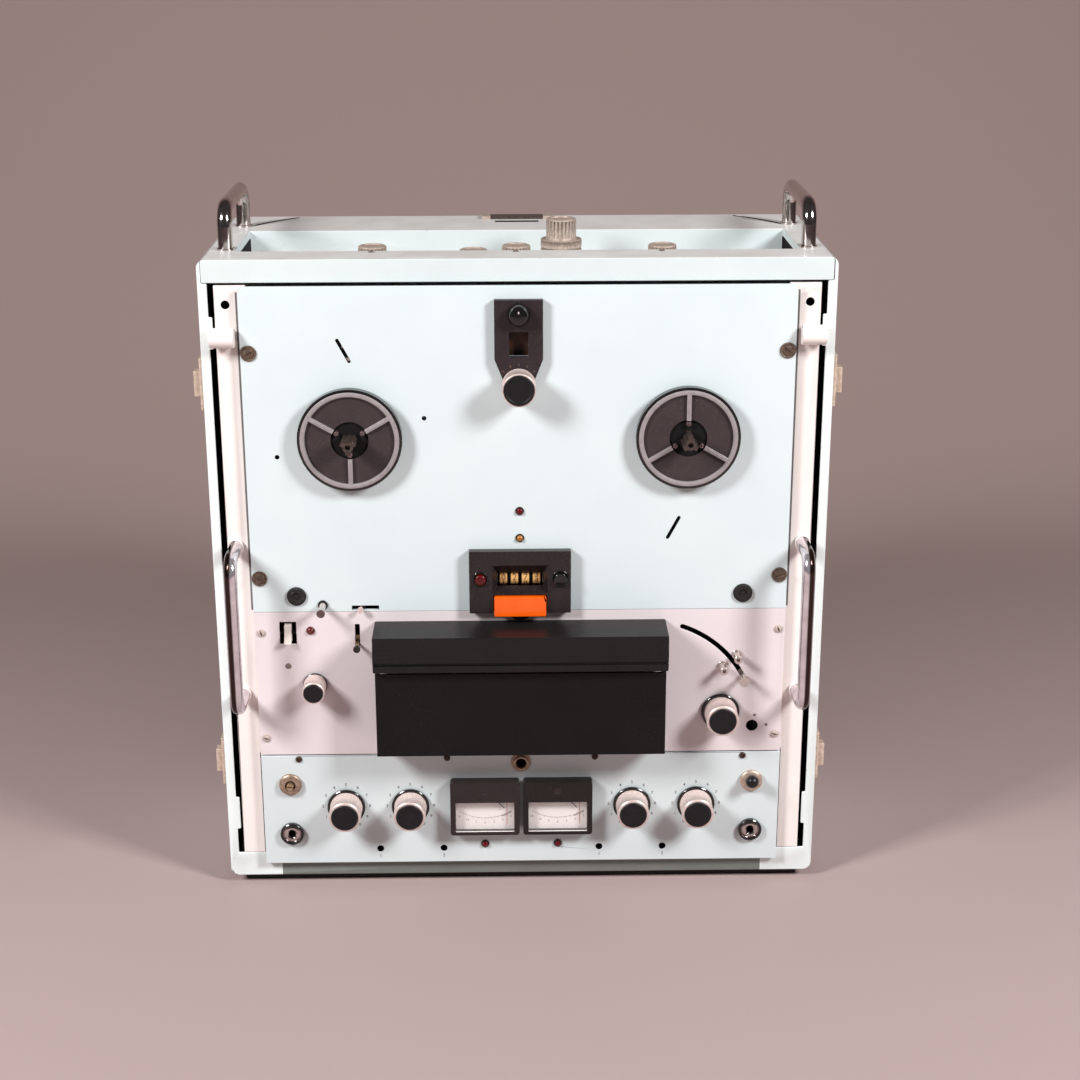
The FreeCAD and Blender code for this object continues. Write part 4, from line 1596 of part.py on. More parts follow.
def panel_controls():
    cans = []
    bores = []
    places = [("function", "-FunctionAcross", "FunctionHeight"), ("transport", "TransportAcross", "TransportHeight"),
              ("gain_a", "-GainOuter", "GainHeight"), ("gain_b", "-GainInner", "GainHeight"),
              ("gain_c", "GainInner", "GainHeight"), ("gain_d", "GainOuter", "GainHeight")]
    for name, x, z in places:
        cans.append(rod(f"can_{name}", BACK, x, "PanelBack", z, "ControlRadius", "ControlLength"))
        bores.append(rod(f"can_bore_{name}", BACK, x, "PanelBack - 1", z, "ShaftRadius + RunningClearance",
                         "ControlLength + 2"))
    node(cut("panel_controls_body", join("cans_whole", *cans), *bores), "panel_controls")


# Connectors in the well and electronics

def well_connectors():
    pieces = []
    for name, x, top in (("far_left", "-SocketAcross", "SocketTop"),
                         ("inner_left", "-SocketInner", "SocketTop - SocketDrop"),
                         ("middle", "-SocketMiddle", "SocketTop"), ("far_right", "SocketAcross", "SocketTop")):
        pieces.append(join(
            f"socket_{name}",
            rod(f"socket_barrel_{name}", UP, x, "InletBack", "WellFloor", "SocketCap - SocketRim",
                f"{top} - WellFloor - SocketRim"),
            rod(f"socket_ring_{name}", UP, x, "InletBack", "WellFloor", "SocketCap", "SocketRing"),
            rod(f"socket_cap_{name}", UP, x, "InletBack", f"{top} - SocketCapHeight", "SocketCap", "SocketCapHeight"),
        ))
    pieces.append(join(
        "inlet",
        rod("inlet_base", UP, "InletAcross", "InletBack", "WellFloor", "InletCollar", "InletFoot"),
        rod("inlet_barrel", UP, "InletAcross", "InletBack", "WellFloor", "InletCollar - SocketRim",
            "InletTop - InletGrip - WellFloor - SocketRim"),
        rod("inlet_collar", UP, "InletAcross", "InletBack", "InletTop - InletGrip - InletCollarHeight + 1",
            "InletCollar", "InletCollarHeight"),
        rod("inlet_grip", UP, "InletAcross", "InletBack", "InletTop - InletGrip", "InletCap", "InletGrip"),
    ))
    node(join("well_connectors_body", *pieces), "well_connectors")


def electronics():
    shelf = "CheekBottom + ShelfThickness"
    core = box("transformer_core", "-CheekIn + 8", "CheekDepth - TransformerDepth - 8", shelf, "TransformerWidth",
               "TransformerDepth", "TransformerHeight")
    coil = box("transformer_coil", "-CheekIn + 8 + TransformerWidth / 5", "CheekDepth - TransformerDepth - 14",
               f"{shelf} + TransformerHeight / 5", "TransformerWidth * 3 / 5", "TransformerDepth + 12",
               "TransformerHeight * 3 / 5")
    node(join("mains_transformer_body", core, coil), "mains_transformer")
    boards = []
    for index in range(4):
        boards.append(box(f"board_{index}", f"-BoardPitch + {index} * BoardPitch", "BoardFront", shelf,
                          "BoardThickness", "BoardDepth", "BoardHeight"))
        boards.append(box(f"board_cover_{index}", f"-BoardPitch + {index} * BoardPitch + BoardThickness",
                          "BoardFront + BoardDepth / 4", f"{shelf} + BoardHeight / 4", "12", "BoardDepth / 2",
                          "BoardHeight / 2"))
    node(join("circuit_boards_body", *boards), "circuit_boards")


BUILDERS = [
    case_shell, case_top, rear_cover, rubber_skids, lid_catches, handles, rack_strips,
    chassis_frame, deck_plate, head_panel, control_panel, panel_screws, turntables, speed_selector,
    tape_counter, small_fittings, drive_motors, capstan_drive, drive_belt, head_block, head_cover,
    pinch_roller, left_levers, mains_rocker, knobs, tension_arm, panel_bushings, toggle_and_spindle,
    meters, panel_controls, well_connectors, electronics,
]
for build in BUILDERS:
    build()
doc.recompute()

for item in doc.Objects:
    if "Invalid" in item.State or "Error" in item.State:
        raise RuntimeError(f"{item.Name} did not build: {item.State}")
for name, item in NODES.items():
    if item.Shape.isNull() or not item.Shape.isValid():
        raise RuntimeError(f"{name} has no valid shape")
for name, item in NODES.items():
    item.Shape.exportStep(f"parts/{name}.step")
print(len(NODES), "nodes written")
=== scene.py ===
import contextlib
import json
import math

import bpy
from mathutils import Matrix, Vector

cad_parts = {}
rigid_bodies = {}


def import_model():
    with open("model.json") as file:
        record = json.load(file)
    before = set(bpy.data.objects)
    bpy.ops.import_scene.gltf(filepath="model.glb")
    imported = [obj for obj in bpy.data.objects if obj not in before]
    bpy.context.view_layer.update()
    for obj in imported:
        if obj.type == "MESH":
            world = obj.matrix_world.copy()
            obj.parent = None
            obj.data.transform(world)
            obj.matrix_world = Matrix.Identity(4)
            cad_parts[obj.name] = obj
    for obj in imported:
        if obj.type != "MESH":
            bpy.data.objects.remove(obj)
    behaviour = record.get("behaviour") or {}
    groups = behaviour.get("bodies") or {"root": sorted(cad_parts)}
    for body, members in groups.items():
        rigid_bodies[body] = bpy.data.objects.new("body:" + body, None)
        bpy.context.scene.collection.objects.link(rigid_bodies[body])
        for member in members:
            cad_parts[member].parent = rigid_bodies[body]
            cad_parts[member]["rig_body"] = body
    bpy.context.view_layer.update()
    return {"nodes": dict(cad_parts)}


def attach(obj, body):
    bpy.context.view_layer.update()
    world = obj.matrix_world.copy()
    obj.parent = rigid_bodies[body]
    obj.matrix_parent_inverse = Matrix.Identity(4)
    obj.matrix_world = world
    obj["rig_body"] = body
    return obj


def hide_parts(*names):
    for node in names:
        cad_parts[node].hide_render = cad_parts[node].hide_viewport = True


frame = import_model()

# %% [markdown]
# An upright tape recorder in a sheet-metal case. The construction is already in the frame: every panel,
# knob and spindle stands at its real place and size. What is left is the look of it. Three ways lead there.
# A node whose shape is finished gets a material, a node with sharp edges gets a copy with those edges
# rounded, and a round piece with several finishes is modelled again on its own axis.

MM = 0.001
FLANGE = -83.0
SKID = 8.0


def spot(across, deep, high):
    """A place in the case's own millimetres: across, behind the front flange, above the case's underside."""
    return Vector((across, deep + FLANGE, high + SKID)) * MM


def shade(red, green, blue):
    """A colour as it is read off a screen, from 0 to 255, turned into the linear colour a shader wants."""
    def linear(value):
        part = value / 255
        return part / 12.92 if part <= 0.04045 else ((part + 0.055) / 1.055) ** 2.4
    return (linear(red), linear(green), linear(blue), 1.0)


def only(piece=None):
    """Deselects everything, then makes one piece selected and active."""
    bpy.ops.object.select_all(action="DESELECT")
    bpy.context.view_layer.objects.active = piece
    if piece:
        piece.select_set(True)


@contextlib.contextmanager
def editing(kind=None, everything=True):
    """Edit mode on the active piece, by vertices, edges or faces, with all selected or only what was."""
    bpy.ops.object.mode_set(mode="EDIT")
    if kind:
        bpy.ops.mesh.select_mode(type=kind)
    if everything:
        bpy.ops.mesh.select_all(action="SELECT")
    yield
    bpy.ops.object.mode_set(mode="OBJECT")


def place_mesh(piece):
    """Puts an object's own place, turn and size into its mesh, so that the object stands at the origin."""
    bpy.ops.object.transform_apply(location=True, rotation=True, scale=True)
    return piece


def height(point):
    """How far a place in the frame, in millimetres, is above the case's underside."""
    return point.z - SKID


def depth(point):
    """How far a place in the frame, in millimetres, is behind the front flange."""
    return point.y - FLANGE


print("nodes in the frame:", len(frame["nodes"]))

# %% [markdown]
# The finishes share a few effects: fine grain, dust that settles in spots, rings left by a lathe tool, and
# paint that has worn off along the edges. Each could be repeated in every material. As a node group it is
# built once, with its strength and scale left open, and each material places it with its own values.

# %% Shared effects as node groups
def wire(tree, kind, values=None, **settings):
    """Adds a shader node. Values, numbers or links, go to its sockets and settings to its properties."""
    node = tree.nodes.new("ShaderNode" + kind)
    for key, value in settings.items():
        setattr(node, key, value)
    for key, value in (values or {}).items():
        if isinstance(value, bpy.types.NodeSocket):
            tree.links.new(value, node.inputs[key])
        else:
            node.inputs[key].default_value = value
    return node


def start_group(name, inputs, output):
    """Starts a node group that has numbers as inputs and one mask or value as its output."""
    tree = bpy.data.node_groups.new(name, "ShaderNodeTree")
    for label, value in inputs.items():
        socket = tree.interface.new_socket(label, in_out="INPUT", socket_type="NodeSocketFloat")
        socket.default_value = value
    tree.interface.new_socket(output, in_out="OUTPUT", socket_type="NodeSocketFloat")
    return tree, tree.nodes.new("NodeGroupInput").outputs, tree.nodes.new("NodeGroupOutput").inputs


def scaled_noise(tree, scale, detail, roughness=0.6):
    """Noise on the piece's own coordinates, whose scale is in spots per metre."""
    place = wire(tree, "TexCoord").outputs["Object"]
    return wire(tree, "TexNoise", {"Vector": place, "Scale": scale, "Detail": detail,
                                   "Roughness": roughness}).outputs["Fac"]


def reckon(tree, operation, first, second):
    """Adds, subtracts or multiplies two values."""
    return wire(tree, "Math", {0: first, 1: second}, operation=operation).outputs[0]


def band(tree, value, low, high):
    """Stretches the part of a value between low and high to run from 0 to 1."""
    return wire(tree, "MapRange", {"Value": value, "From Min": low, "From Max": high}).outputs["Result"]


grain_group, given, made = start_group("fine_grain", {"Scale": 400.0, "Low": 0.3, "High": 0.7}, "Grain")
noise = scaled_noise(grain_group, given["Scale"], 5.0)
grain_group.links.new(band(grain_group, noise, given["Low"], given["High"]), made["Grain"])

dust_group, given, made = start_group("dust_spots", {"Scale": 900.0, "Amount": 0.3}, "Dust")
specks = scaled_noise(dust_group, given["Scale"], 2.0, 0.4)
drifts = scaled_noise(dust_group, 14.0, 4.0)
spotted = band(dust_group, specks, 0.62, 0.72)
drifted = band(dust_group, drifts, 0.4, 0.7)
both = reckon(dust_group, "MULTIPLY", spotted, drifted)
amount = reckon(dust_group, "MULTIPLY", both, given["Amount"])
dust_group.links.new(amount, made["Dust"])

wear_group, given, made = start_group("edge_wear", {"Width": 0.0006, "Scale": 350.0, "Amount": 0.5}, "Worn")
soft_normal = wire(wear_group, "Bevel", {"Radius": given["Width"]}, samples=4).outputs["Normal"]
true_normal = wire(wear_group, "NewGeometry").outputs["True Normal"]
turn = wire(wear_group, "VectorMath", {0: soft_normal, 1: true_normal}, operation="DOT_PRODUCT")
edge = band(wear_group, turn.outputs["Value"], 0.995, 0.86)
patches = scaled_noise(wear_group, given["Scale"], 4.0)
chips = band(wear_group, reckon(wear_group, "ADD", patches, given["Amount"]), 0.98, 1.04)
wear_group.links.new(reckon(wear_group, "MULTIPLY", edge, chips), made["Worn"])

rings_group, given, made = start_group("lathe_rings", {"X": 0.0, "Z": 0.0, "Rings": 2500.0}, "Ring")
here = wire(rings_group, "SeparateXYZ", {0: wire(rings_group, "TexCoord").outputs["Object"]}).outputs
across = reckon(rings_group, "SUBTRACT", here["X"], given["X"])
above = reckon(rings_group, "SUBTRACT", here["Z"], given["Z"])
flat = wire(rings_group, "CombineXYZ", {"X": across, "Z": above}).outputs[0]
reach = wire(rings_group, "VectorMath", {0: flat}, operation="LENGTH").outputs["Value"]
count = reckon(rings_group, "MULTIPLY", reach, given["Rings"])
line = wire(rings_group, "TexNoise", {"W": count, "Scale": 1.0, "Detail": 3.0}, noise_dimensions="1D")
rings_group.links.new(line.outputs["Fac"], made["Ring"])
print("effect groups:", len(bpy.data.node_groups))

# %% [markdown]
# Painted steel, moulded plastic, rubber and bright metal differ less in kind than in numbers. One function
# builds them all: a colour that varies a little, dust and worn edges laid over it, a roughness that follows
# the grain, and a bump fine enough to break up the highlights. What differs is handed in.

# %% One way to build a finish
def place_group(tree, group, **values):
    """Places an effect in a material and returns its output."""
    node = tree.nodes.new("ShaderNodeGroup")
    node.node_tree = group
    for label, value in values.items():
        node.inputs[label].default_value = value
    return node.outputs[0]


def blend_colours(tree, mask, base, over):
    """Lays one colour over another by a mask."""
    node = tree.nodes.new("ShaderNodeMix")
    node.data_type = "RGBA"
    tree.links.new(mask, node.inputs["Factor"])
    for socket, value in ((node.inputs[6], base), (node.inputs[7], over)):
        if isinstance(value, bpy.types.NodeSocket):
            tree.links.new(value, socket)
        else:
            socket.default_value = value
    return node.outputs[2]


def lay_over(tree, mask, colour):
    """Lays one more colour over the colour that a finish has."""
    colour_socket = tree.nodes["Principled BSDF"].inputs["Base Color"]
    before = colour_socket.links[0].from_socket
    tree.links.new(blend_colours(tree, mask, before, shade(*colour)), colour_socket)


FINISHES = {}


def finish(name, colour, second, rough=(0.3, 0.45), metal=0.0, scale=60.0, bump=0.02, chip=None, wear=0.42,
           wear_width=0.0006, dust=0.2, dust_colour=(200, 190, 184), rings=None, coat=0.0, specular=0.5):
    """A finish for paint, plastic, rubber or metal: two close tones, dust, worn edges and a fine bump.
    Colours are as on a screen, from 0 to 255. A piece gets a finish by its name from FINISHES, as the
    materials of the CAD frame have some of the same names."""
    material = FINISHES[name] = bpy.data.materials.new(name)
    material.use_nodes = True
    tree = material.node_tree
    shader = tree.nodes["Principled BSDF"]
    tone = place_group(tree, grain_group, Scale=scale, Low=0.35, High=0.68)
    skin = blend_colours(tree, tone, shade(*colour), shade(*second))
    settled = place_group(tree, dust_group, Amount=dust)
    skin = blend_colours(tree, settled, skin, shade(*dust_colour))
    if chip:
        bare = place_group(tree, wear_group, Width=wear_width, Amount=wear)
        skin = blend_colours(tree, bare, skin, shade(*chip))
    tree.links.new(skin, shader.inputs["Base Color"])
    if rings:
        texture = place_group(tree, rings_group, X=rings[0], Z=rings[1], Rings=rings[2])
    else:
        texture = place_group(tree, grain_group, Scale=900.0, Low=0.3, High=0.7)
    gloss = wire(tree, "MapRange", {"Value": texture, "To Min": rough[0], "To Max": rough[1]})
    tree.links.new(gloss.outputs["Result"], shader.inputs["Roughness"])
    relief = wire(tree, "Bump", {"Height": texture, "Strength": bump, "Distance": 0.001}).outputs["Normal"]
    tree.links.new(relief, shader.inputs["Normal"])
    shader.inputs["Metallic"].default_value = metal
    shader.inputs["Coat Weight"].default_value = coat
    shader.inputs["Specular IOR Level"].default_value = specular
    return material


PALE_CHIP = (150, 140, 132)
DARK_CHIP = (128, 112, 108)
SHEET = {"scale": 18.0, "chip": PALE_CHIP, "wear_width": 0.0012, "bump": 0.03, "dust": 0.35}
PANEL_COAT = {"scale": 12.0, "chip": PALE_CHIP, "wear": 0.34, "dust": 0.12}
STRIP_COAT = {"scale": 14.0, "chip": PALE_CHIP, "dust": 0.15}
COVER_COAT = {"scale": 30.0, "chip": (96, 82, 76), "bump": 0.05}
SHIELD_COAT = {"scale": 80.0, "chip": DARK_CHIP, "wear_width": 0.0008, "dust": 0.1}
MOULDED = {"scale": 50.0, "chip": DARK_CHIP, "wear": 0.34, "bump": 0.03, "specular": 0.4}
CAST = {"metal": 0.6, "scale": 320.0, "bump": 0.08, "dust": 0.4}
# The top sheet's two enamels are painted darker than the case's enamel, as shade on the top; the upward one
# also holds dust.
finish("dust_and_shade_enamel", (224, 224, 222), (212, 208, 205), (0.3, 0.5),
       **{**SHEET, "scale": 25.0, "dust": 0.6}, dust_colour=(150, 136, 130))
finish("case_enamel", (234, 240, 238), (228, 235, 234), (0.32, 0.46), wear=0.40, **SHEET)
finish("top_enamel", (215, 223, 223), (209, 218, 218), (0.32, 0.46), wear=0.34, **SHEET)
finish("panel_enamel", (218, 228, 229), (214, 224, 226), (0.3, 0.42), **PANEL_COAT)
finish("control_paint", (216, 224, 225), (210, 219, 221), (0.3, 0.42), **PANEL_COAT)
finish("cream_enamel", (246, 236, 232), (242, 231, 227), (0.32, 0.45), wear=0.36, **STRIP_COAT)
finish("head_paint", (230, 218, 220), (225, 212, 214), (0.32, 0.45), wear=0.34, **STRIP_COAT)
finish("cover_enamel", (21, 19, 20), (26, 23, 24), (0.34, 0.5), wear=0.24, wear_width=0.0012,
       dust=0.08, specular=0.3, **COVER_COAT)
finish("flap_enamel", (11, 10, 11), (15, 13, 14), (0.36, 0.52), wear=0.20, wear_width=0.0010,
       dust=0.05, specular=0.25, **COVER_COAT)
finish("shield_enamel", (48, 38, 40), (42, 33, 36), (0.3, 0.46), wear=0.40, bump=0.06, specular=0.35,
       **SHIELD_COAT)
finish("bezel_black", (34, 27, 28), (40, 32, 33), (0.2, 0.36), wear=0.38, bump=0.03, specular=0.4,
       **SHIELD_COAT)
finish("cap_dark", (26, 20, 19), (21, 17, 16), (0.28, 0.42), dust=0.1, **MOULDED)
finish("meter_plastic", (44, 33, 34), (37, 29, 30), (0.28, 0.42), dust=0.12, **MOULDED)
finish("black_plastic", (26, 23, 24), (20, 18, 19), (0.25, 0.42), dust=0.1, specular=0.35)
finish("gloss_black", (16, 14, 14), (22, 20, 20), (0.1, 0.22), bump=0.01, dust=0.08, coat=0.3)
finish("shadow_black", (24, 21, 22), (18, 16, 17), (0.7, 0.85), dust=0.0, specular=0.15)
finish("rubber", (30, 27, 27), (40, 36, 35), (0.6, 0.8), bump=0.12, dust=0.3, specular=0.3)
finish("orange_plastic", (250, 100, 8), (242, 88, 6), (0.16, 0.26), scale=30.0, bump=0.004,
       chip=(252, 160, 100), wear=0.36, wear_width=0.0012, dust=0.0, coat=0.4)
finish("red_plastic", (90, 15, 19), (72, 11, 15), (0.2, 0.35), coat=0.2, specular=0.3)
finish("cream_plastic", (250, 238, 230), (242, 228, 218), (0.25, 0.4))
finish("chrome", (214, 206, 204), (188, 176, 172), (0.05, 0.16), metal=1.0, scale=240.0, bump=0.01,
       dust_colour=(96, 74, 64))
# Painted reflection: the rack bars get a dark band where their surface turns partly outward, as the dark room
# seen in the chrome.
tree = finish("bar_chrome", (236, 228, 232), (212, 202, 206), (0.06, 0.2), metal=0.8, scale=90.0, bump=0.01,
              dust=0.1, dust_colour=(96, 74, 64)).node_tree
side = wire(tree, "SeparateXYZ", {0: wire(tree, "TexCoord").outputs["Object"]}).outputs["X"]
facing = wire(tree, "SeparateXYZ", {0: wire(tree, "NewGeometry").outputs["Normal"]}).outputs["X"]
sign = wire(tree, "Math", {0: side}, operation="SIGN").outputs[0]
outward = reckon(tree, "MULTIPLY", facing, sign)
lay_over(tree, reckon(tree, "MULTIPLY", band(tree, outward, -0.12, 0.1), band(tree, outward, 0.9, 0.7)),
         (52, 36, 32))
finish("steel", (186, 178, 174), (158, 150, 147), (0.2, 0.36), metal=1.0, scale=200.0)
finish("pale_steel", (222, 212, 206), (204, 194, 190), (0.2, 0.34), metal=0.8, scale=260.0)
# Painted shade: the chassis is given this dark steel as the shade inside the closed case.
finish("dark_steel", (52, 47, 46), (42, 38, 38), (0.45, 0.65), metal=0.5, specular=0.2)
finish("cream_metal", (236, 216, 210), (222, 200, 194), (0.3, 0.46), metal=0.35, scale=300.0, bump=0.04)
finish("bronze", (186, 160, 140), (140, 118, 104), (0.3, 0.5), **CAST)
finish("cap_bronze", (184, 166, 154), (156, 138, 126), (0.45, 0.6), metal=0.15, scale=420.0, bump=0.08,
       dust=0.4, dust_colour=(208, 198, 190))
finish("lock_brown", (96, 80, 74), (70, 58, 54), (0.3, 0.5), metal=0.5, scale=420.0, bump=0.1, dust=0.3)
# Painted shade: the small screws of the control panel are brown, painted darker as the shade they sit in.
finish("shaded_screw_brown", (84, 66, 56), (62, 48, 42), (0.3, 0.5), **CAST)
finish("screw_tan", (120, 96, 82), (98, 78, 66), (0.4, 0.6), dust=0.1)
finish("brass", (206, 184, 150), (168, 142, 108), (0.28, 0.5), metal=0.8, scale=260.0)
finish("pale_brass", (226, 208, 192), (196, 172, 152), (0.3, 0.5), metal=0.4, scale=260.0)
finish("post_cap", (112, 92, 92), (84, 68, 68), (0.3, 0.5), metal=0.5, scale=300.0)
finish("zinc", (150, 150, 148), (128, 128, 124), (0.35, 0.6), metal=0.9, scale=45.0, bump=0.05)
finish("board", (128, 104, 60), (112, 90, 50), (0.4, 0.55))
finish("motor_paint", (46, 46, 48), (38, 38, 40), (0.35, 0.5), chip=PALE_CHIP)
finish("belt_rubber", (40, 34, 32), (50, 42, 38), (0.55, 0.7), bump=0.1)
finish("amber", (232, 186, 118), (218, 166, 96), (0.35, 0.5), scale=120.0)
# Painted shade: a grey for the case's lower rail, where the control panel's shade falls.
finish("rail_shade", (124, 129, 124), (114, 119, 114), scale=18.0, dust=0.02)
# Painted shadow: a grey line on the strips beside the deck plate's edges.
finish("seam_shadow_grey", (104, 98, 98), (120, 112, 112), (0.5, 0.7), dust=0.0)
finish("ink", (70, 68, 72), (88, 86, 90), (0.5, 0.7), dust=0.0)
finish("grey_ink", (140, 134, 134), (156, 150, 150), (0.5, 0.7), dust=0.0)
finish("white_ink", (214, 204, 204), (196, 186, 186), (0.5, 0.7))
finish("card", (240, 232, 229), (235, 226, 222), (0.5, 0.65), scale=20.0, bump=0.0, dust=0.0)
finish("red_ink", (214, 128, 118), (206, 116, 106), (0.5, 0.7))
print("finishes:", len(FINISHES))

# %% [markdown]
# A folded or moulded edge is never sharp, and its small radius is what catches the light. The edges could
# be drawn again by hand. Instead a copy of the node has its loose triangles merged, and a bevel rounds
# every edge that turns by more than a set angle. On a plate full of holes the triangles are first joined
# to one face, because a bevel would pull at their long diagonals.

# %% Rounding the edges of a node
def dress(piece, *finishes):
    """Adds finishes to a piece by their names."""
    for name in finishes:
        piece.data.materials.append(FINISHES[name])


def settle(piece, body, *finishes, stands_for=(), slot=None):
    """Gives a piece its finishes, its body, and what it stands for in the frame."""
    dress(piece, *finishes)
    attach(piece, body)
    if stands_for:
        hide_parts(*stands_for)
    return piece


def round_edges(piece, width, segments=2, angle=35):
    """Bevels the sharp edges of a piece by a width in millimetres. Its large faces stay flat in the light."""
    only(piece)
    bevel = piece.modifiers.new("Rounded", "BEVEL")
    bevel.width = width * MM
    bevel.segments = segments
    bevel.limit_method = "ANGLE"
    bevel.angle_limit = math.radians(angle)
    bevel.use_clamp_overlap = False
    bevel.miter_outer = "MITER_ARC"
    bpy.ops.object.modifier_apply(modifier=bevel.name)
    bpy.ops.object.shade_smooth_by_angle(angle=math.radians(50))
    flat = piece.modifiers.new("Flat", "WEIGHTED_NORMAL")
    flat.weight = 100
    flat.keep_sharp = True
    bpy.ops.object.modifier_apply(modifier=flat.name)


def copy_of(node, name, flat):
    """A copy of a node's mesh with its loose triangles merged, and on a flat plate its faces joined too."""
    piece = bpy.data.objects.new(name, frame["nodes"][node].data.copy())
    bpy.context.scene.collection.objects.link(piece)
    piece.data.materials.clear()
    only(piece)
    with editing():
        bpy.ops.mesh.remove_doubles(threshold=0.000001)
        if flat:
            bpy.ops.mesh.dissolve_limited(angle_limit=math.radians(0.5))
    return piece


def stand_in(piece, node, slot=None, *finishes):
    """Lets a piece stand for a node: it rides on the node's body and the node is hidden. The slot is not used.
    """
    return settle(piece, frame["nodes"][node]["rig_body"], *finishes, stands_for=[node], slot=slot)


ROUNDED = {
    "case_shell": (0.8, "case_enamel"), "case_top": (0.8, "top_enamel"), "rear_cover": (0.5, "case_enamel"),
    "rubber_skids": (1.2, "rubber"), "rack_strips": (0.4, "cream_enamel"),
    "deck_plate": (0.4, "panel_enamel"), "head_panel": (0.4, "head_paint"),
    "control_panel": (0.4, "control_paint"), "speed_shield": (0.5, "shield_enamel"),
    "counter_bezel": (0.4, "bezel_black"),
    "head_cover": (1.0, "cover_enamel"), "head_cover_flap": (1.0, "flap_enamel"),
    "meter_housings": (0.5, "meter_plastic"), "pause_key": (1.0, "orange_plastic"),
    "lid_catches": (0.6, "pale_brass"), "mains_rocker": (0.5, "cream_plastic"),
    "tape_heads": (0.5, "steel"), "head_base": (0.3, "zinc"),
}
PLATES = ["deck_plate", "head_panel", "control_panel", "speed_shield", "rack_strips", "head_base"]
for node, (width, material) in ROUNDED.items():
    piece = copy_of(node, node + "_finished", node in PLATES)
    round_edges(piece, width)
    stand_in(piece, node, None, material)
print("nodes with rounded edges:", len(ROUNDED))

# %% [markdown]
# A slot in a pale panel looks dark, because light hardly reaches its walls. The walls in the model are as
# pale as the panel. They could be left to the light alone, but the panels are thin. So the inner walls get
# a painted shade, the near-black of the space behind them, and so do the case's inner sides. The retaining
# bars on the case are cream like the rack strips. A grey line is painted on the strips along the deck
# plate's sides, as the shadow the plate casts there. The case's lower rail is painted grey as the control
# panel's shade, and the ends of the well are painted dark below a narrow fold, as shade.

# %% Painted shade on walls, and cream bars
def face_places(piece):
    """Each face of a piece with its centre in millimetres and its direction."""
    return [(face, face.center / MM, face.normal) for face in piece.data.polygons]


def split(piece, cuts, chosen=lambda place, normal: True):
    """Cuts the chosen faces of a piece along planes, each given by a place in the case and a direction."""
    only(piece)
    for cut, direction in cuts:
        for face, place, normal in face_places(piece):
            face.select = chosen(place, normal)
        with editing("FACE", False):
            bpy.ops.mesh.bisect(plane_co=spot(*cut), plane_no=direction)


WALLED = {"deck_plate": (221, 249, 520), "head_panel": (221, 119, 246.5), "control_panel": (221, 15.5, 115.5),
          "rack_strips": (240, 24, 520)}
# Painted shade: the walls inside slots and holes get the black finish.
for node, (half, low, high) in WALLED.items():
    piece = bpy.data.objects[node + "_finished"]
    dress(piece, "shadow_black")
    for face, place, normal in face_places(piece):
        inside = abs(place.x) < half and low < height(place) < high
        if inside and abs(normal.y) < 0.3 and not (node == "rack_strips" and depth(place) < 0):
            face.material_index = 1

SILL_HALF = 209
SILL_TOP = 16
SIDE_WALL = 250
shell = bpy.data.objects["case_shell_finished"]
dress(shell, "cream_enamel", "shadow_black", "rail_shade")


def on_frame(place, normal):
    """Whether a face is on the front of the case's frame."""
    return normal.y < -0.5 and -0.3 < depth(place) < 4


# Painted shade: the shell's front below the control panel is cut out and painted grey as the panel's shade,
# and its inner sides are painted black as shade.
split(shell, [((0, 0, SILL_TOP), (0, 0, 1)), ((-SILL_HALF, 0, 0), (1, 0, 0)), ((SILL_HALF, 0, 0), (1, 0, 0))],
      on_frame)
for face, place, normal in face_places(shell):
    inner = abs(place.x) > SIDE_WALL and normal.x * place.x < 0 and abs(normal.x) > 0.9
    in_shade = on_frame(place, normal) and abs(place.x) < SILL_HALF and height(place) < SILL_TOP
    face.material_index = 2 if inner else 3 if in_shade else int(depth(place) < -0.3)

WELL_END = 228
WELL_FRONT, WELL_BACK = 36, 136
FOLD = 535.5
SLOT_MIDDLE = (101.3, 94.8)
SLOT_RADIUS = 142.5
top = bpy.data.objects["case_top_finished"]
dress(top, "dust_and_shade_enamel", "shadow_black")


def on_well_end(place, normal):
    """Whether a face lies on an end wall of the well and looks into the well."""
    on_wall = abs(abs(place.x) - WELL_END) < 1 and normal.x * place.x < -0.9
    return on_wall and WELL_FRONT < depth(place) < WELL_BACK


split(top, [((0, 0, FOLD), (0, 0, 1))], on_well_end)
# Painted shade: the curved slots' walls, the inner sides, the well's ends below the fold and the underside are
# black. Upward faces get the dusty enamel darkened as shade, the other faces the top enamel darkened as shade.
for face, place, normal in face_places(top):
    from_middle = math.hypot(abs(place.x) - SLOT_MIDDLE[0], depth(place) - SLOT_MIDDLE[1])
    in_slot = abs(from_middle - SLOT_RADIUS) < 2.2 and normal.z < 0.97 and height(place) > 530
    inner = abs(place.x) > 232 and normal.x * place.x < 0 and abs(normal.x) > 0.5
    below_fold = on_well_end(place, normal) and 500 < height(place) < FOLD
    painted_dark = in_slot or inner or below_fold or normal.z < -0.9
    face.material_index = 2 if painted_dark else int(normal.z > 0.8)

# Painted shadow: the strips' front between the deck plate's edge and this line is grey, as the plate's shadow.
SEAM = 224.4
SEAM_LOW, SEAM_HIGH = 248, 516
strips = bpy.data.objects["rack_strips_finished"]
dress(strips, "seam_shadow_grey")
split(strips, [((-SEAM, 0, 0), (1, 0, 0)), ((SEAM, 0, 0), (1, 0, 0)), ((0, 0, SEAM_LOW), (0, 0, 1)),
               ((0, 0, SEAM_HIGH), (0, 0, 1))])
for face, place, normal in face_places(strips):
    if abs(place.x) < SEAM and normal.y < -0.9 and SEAM_LOW < height(place) < SEAM_HIGH:
        face.material_index = 2

METER_MIDDLE = 31.3
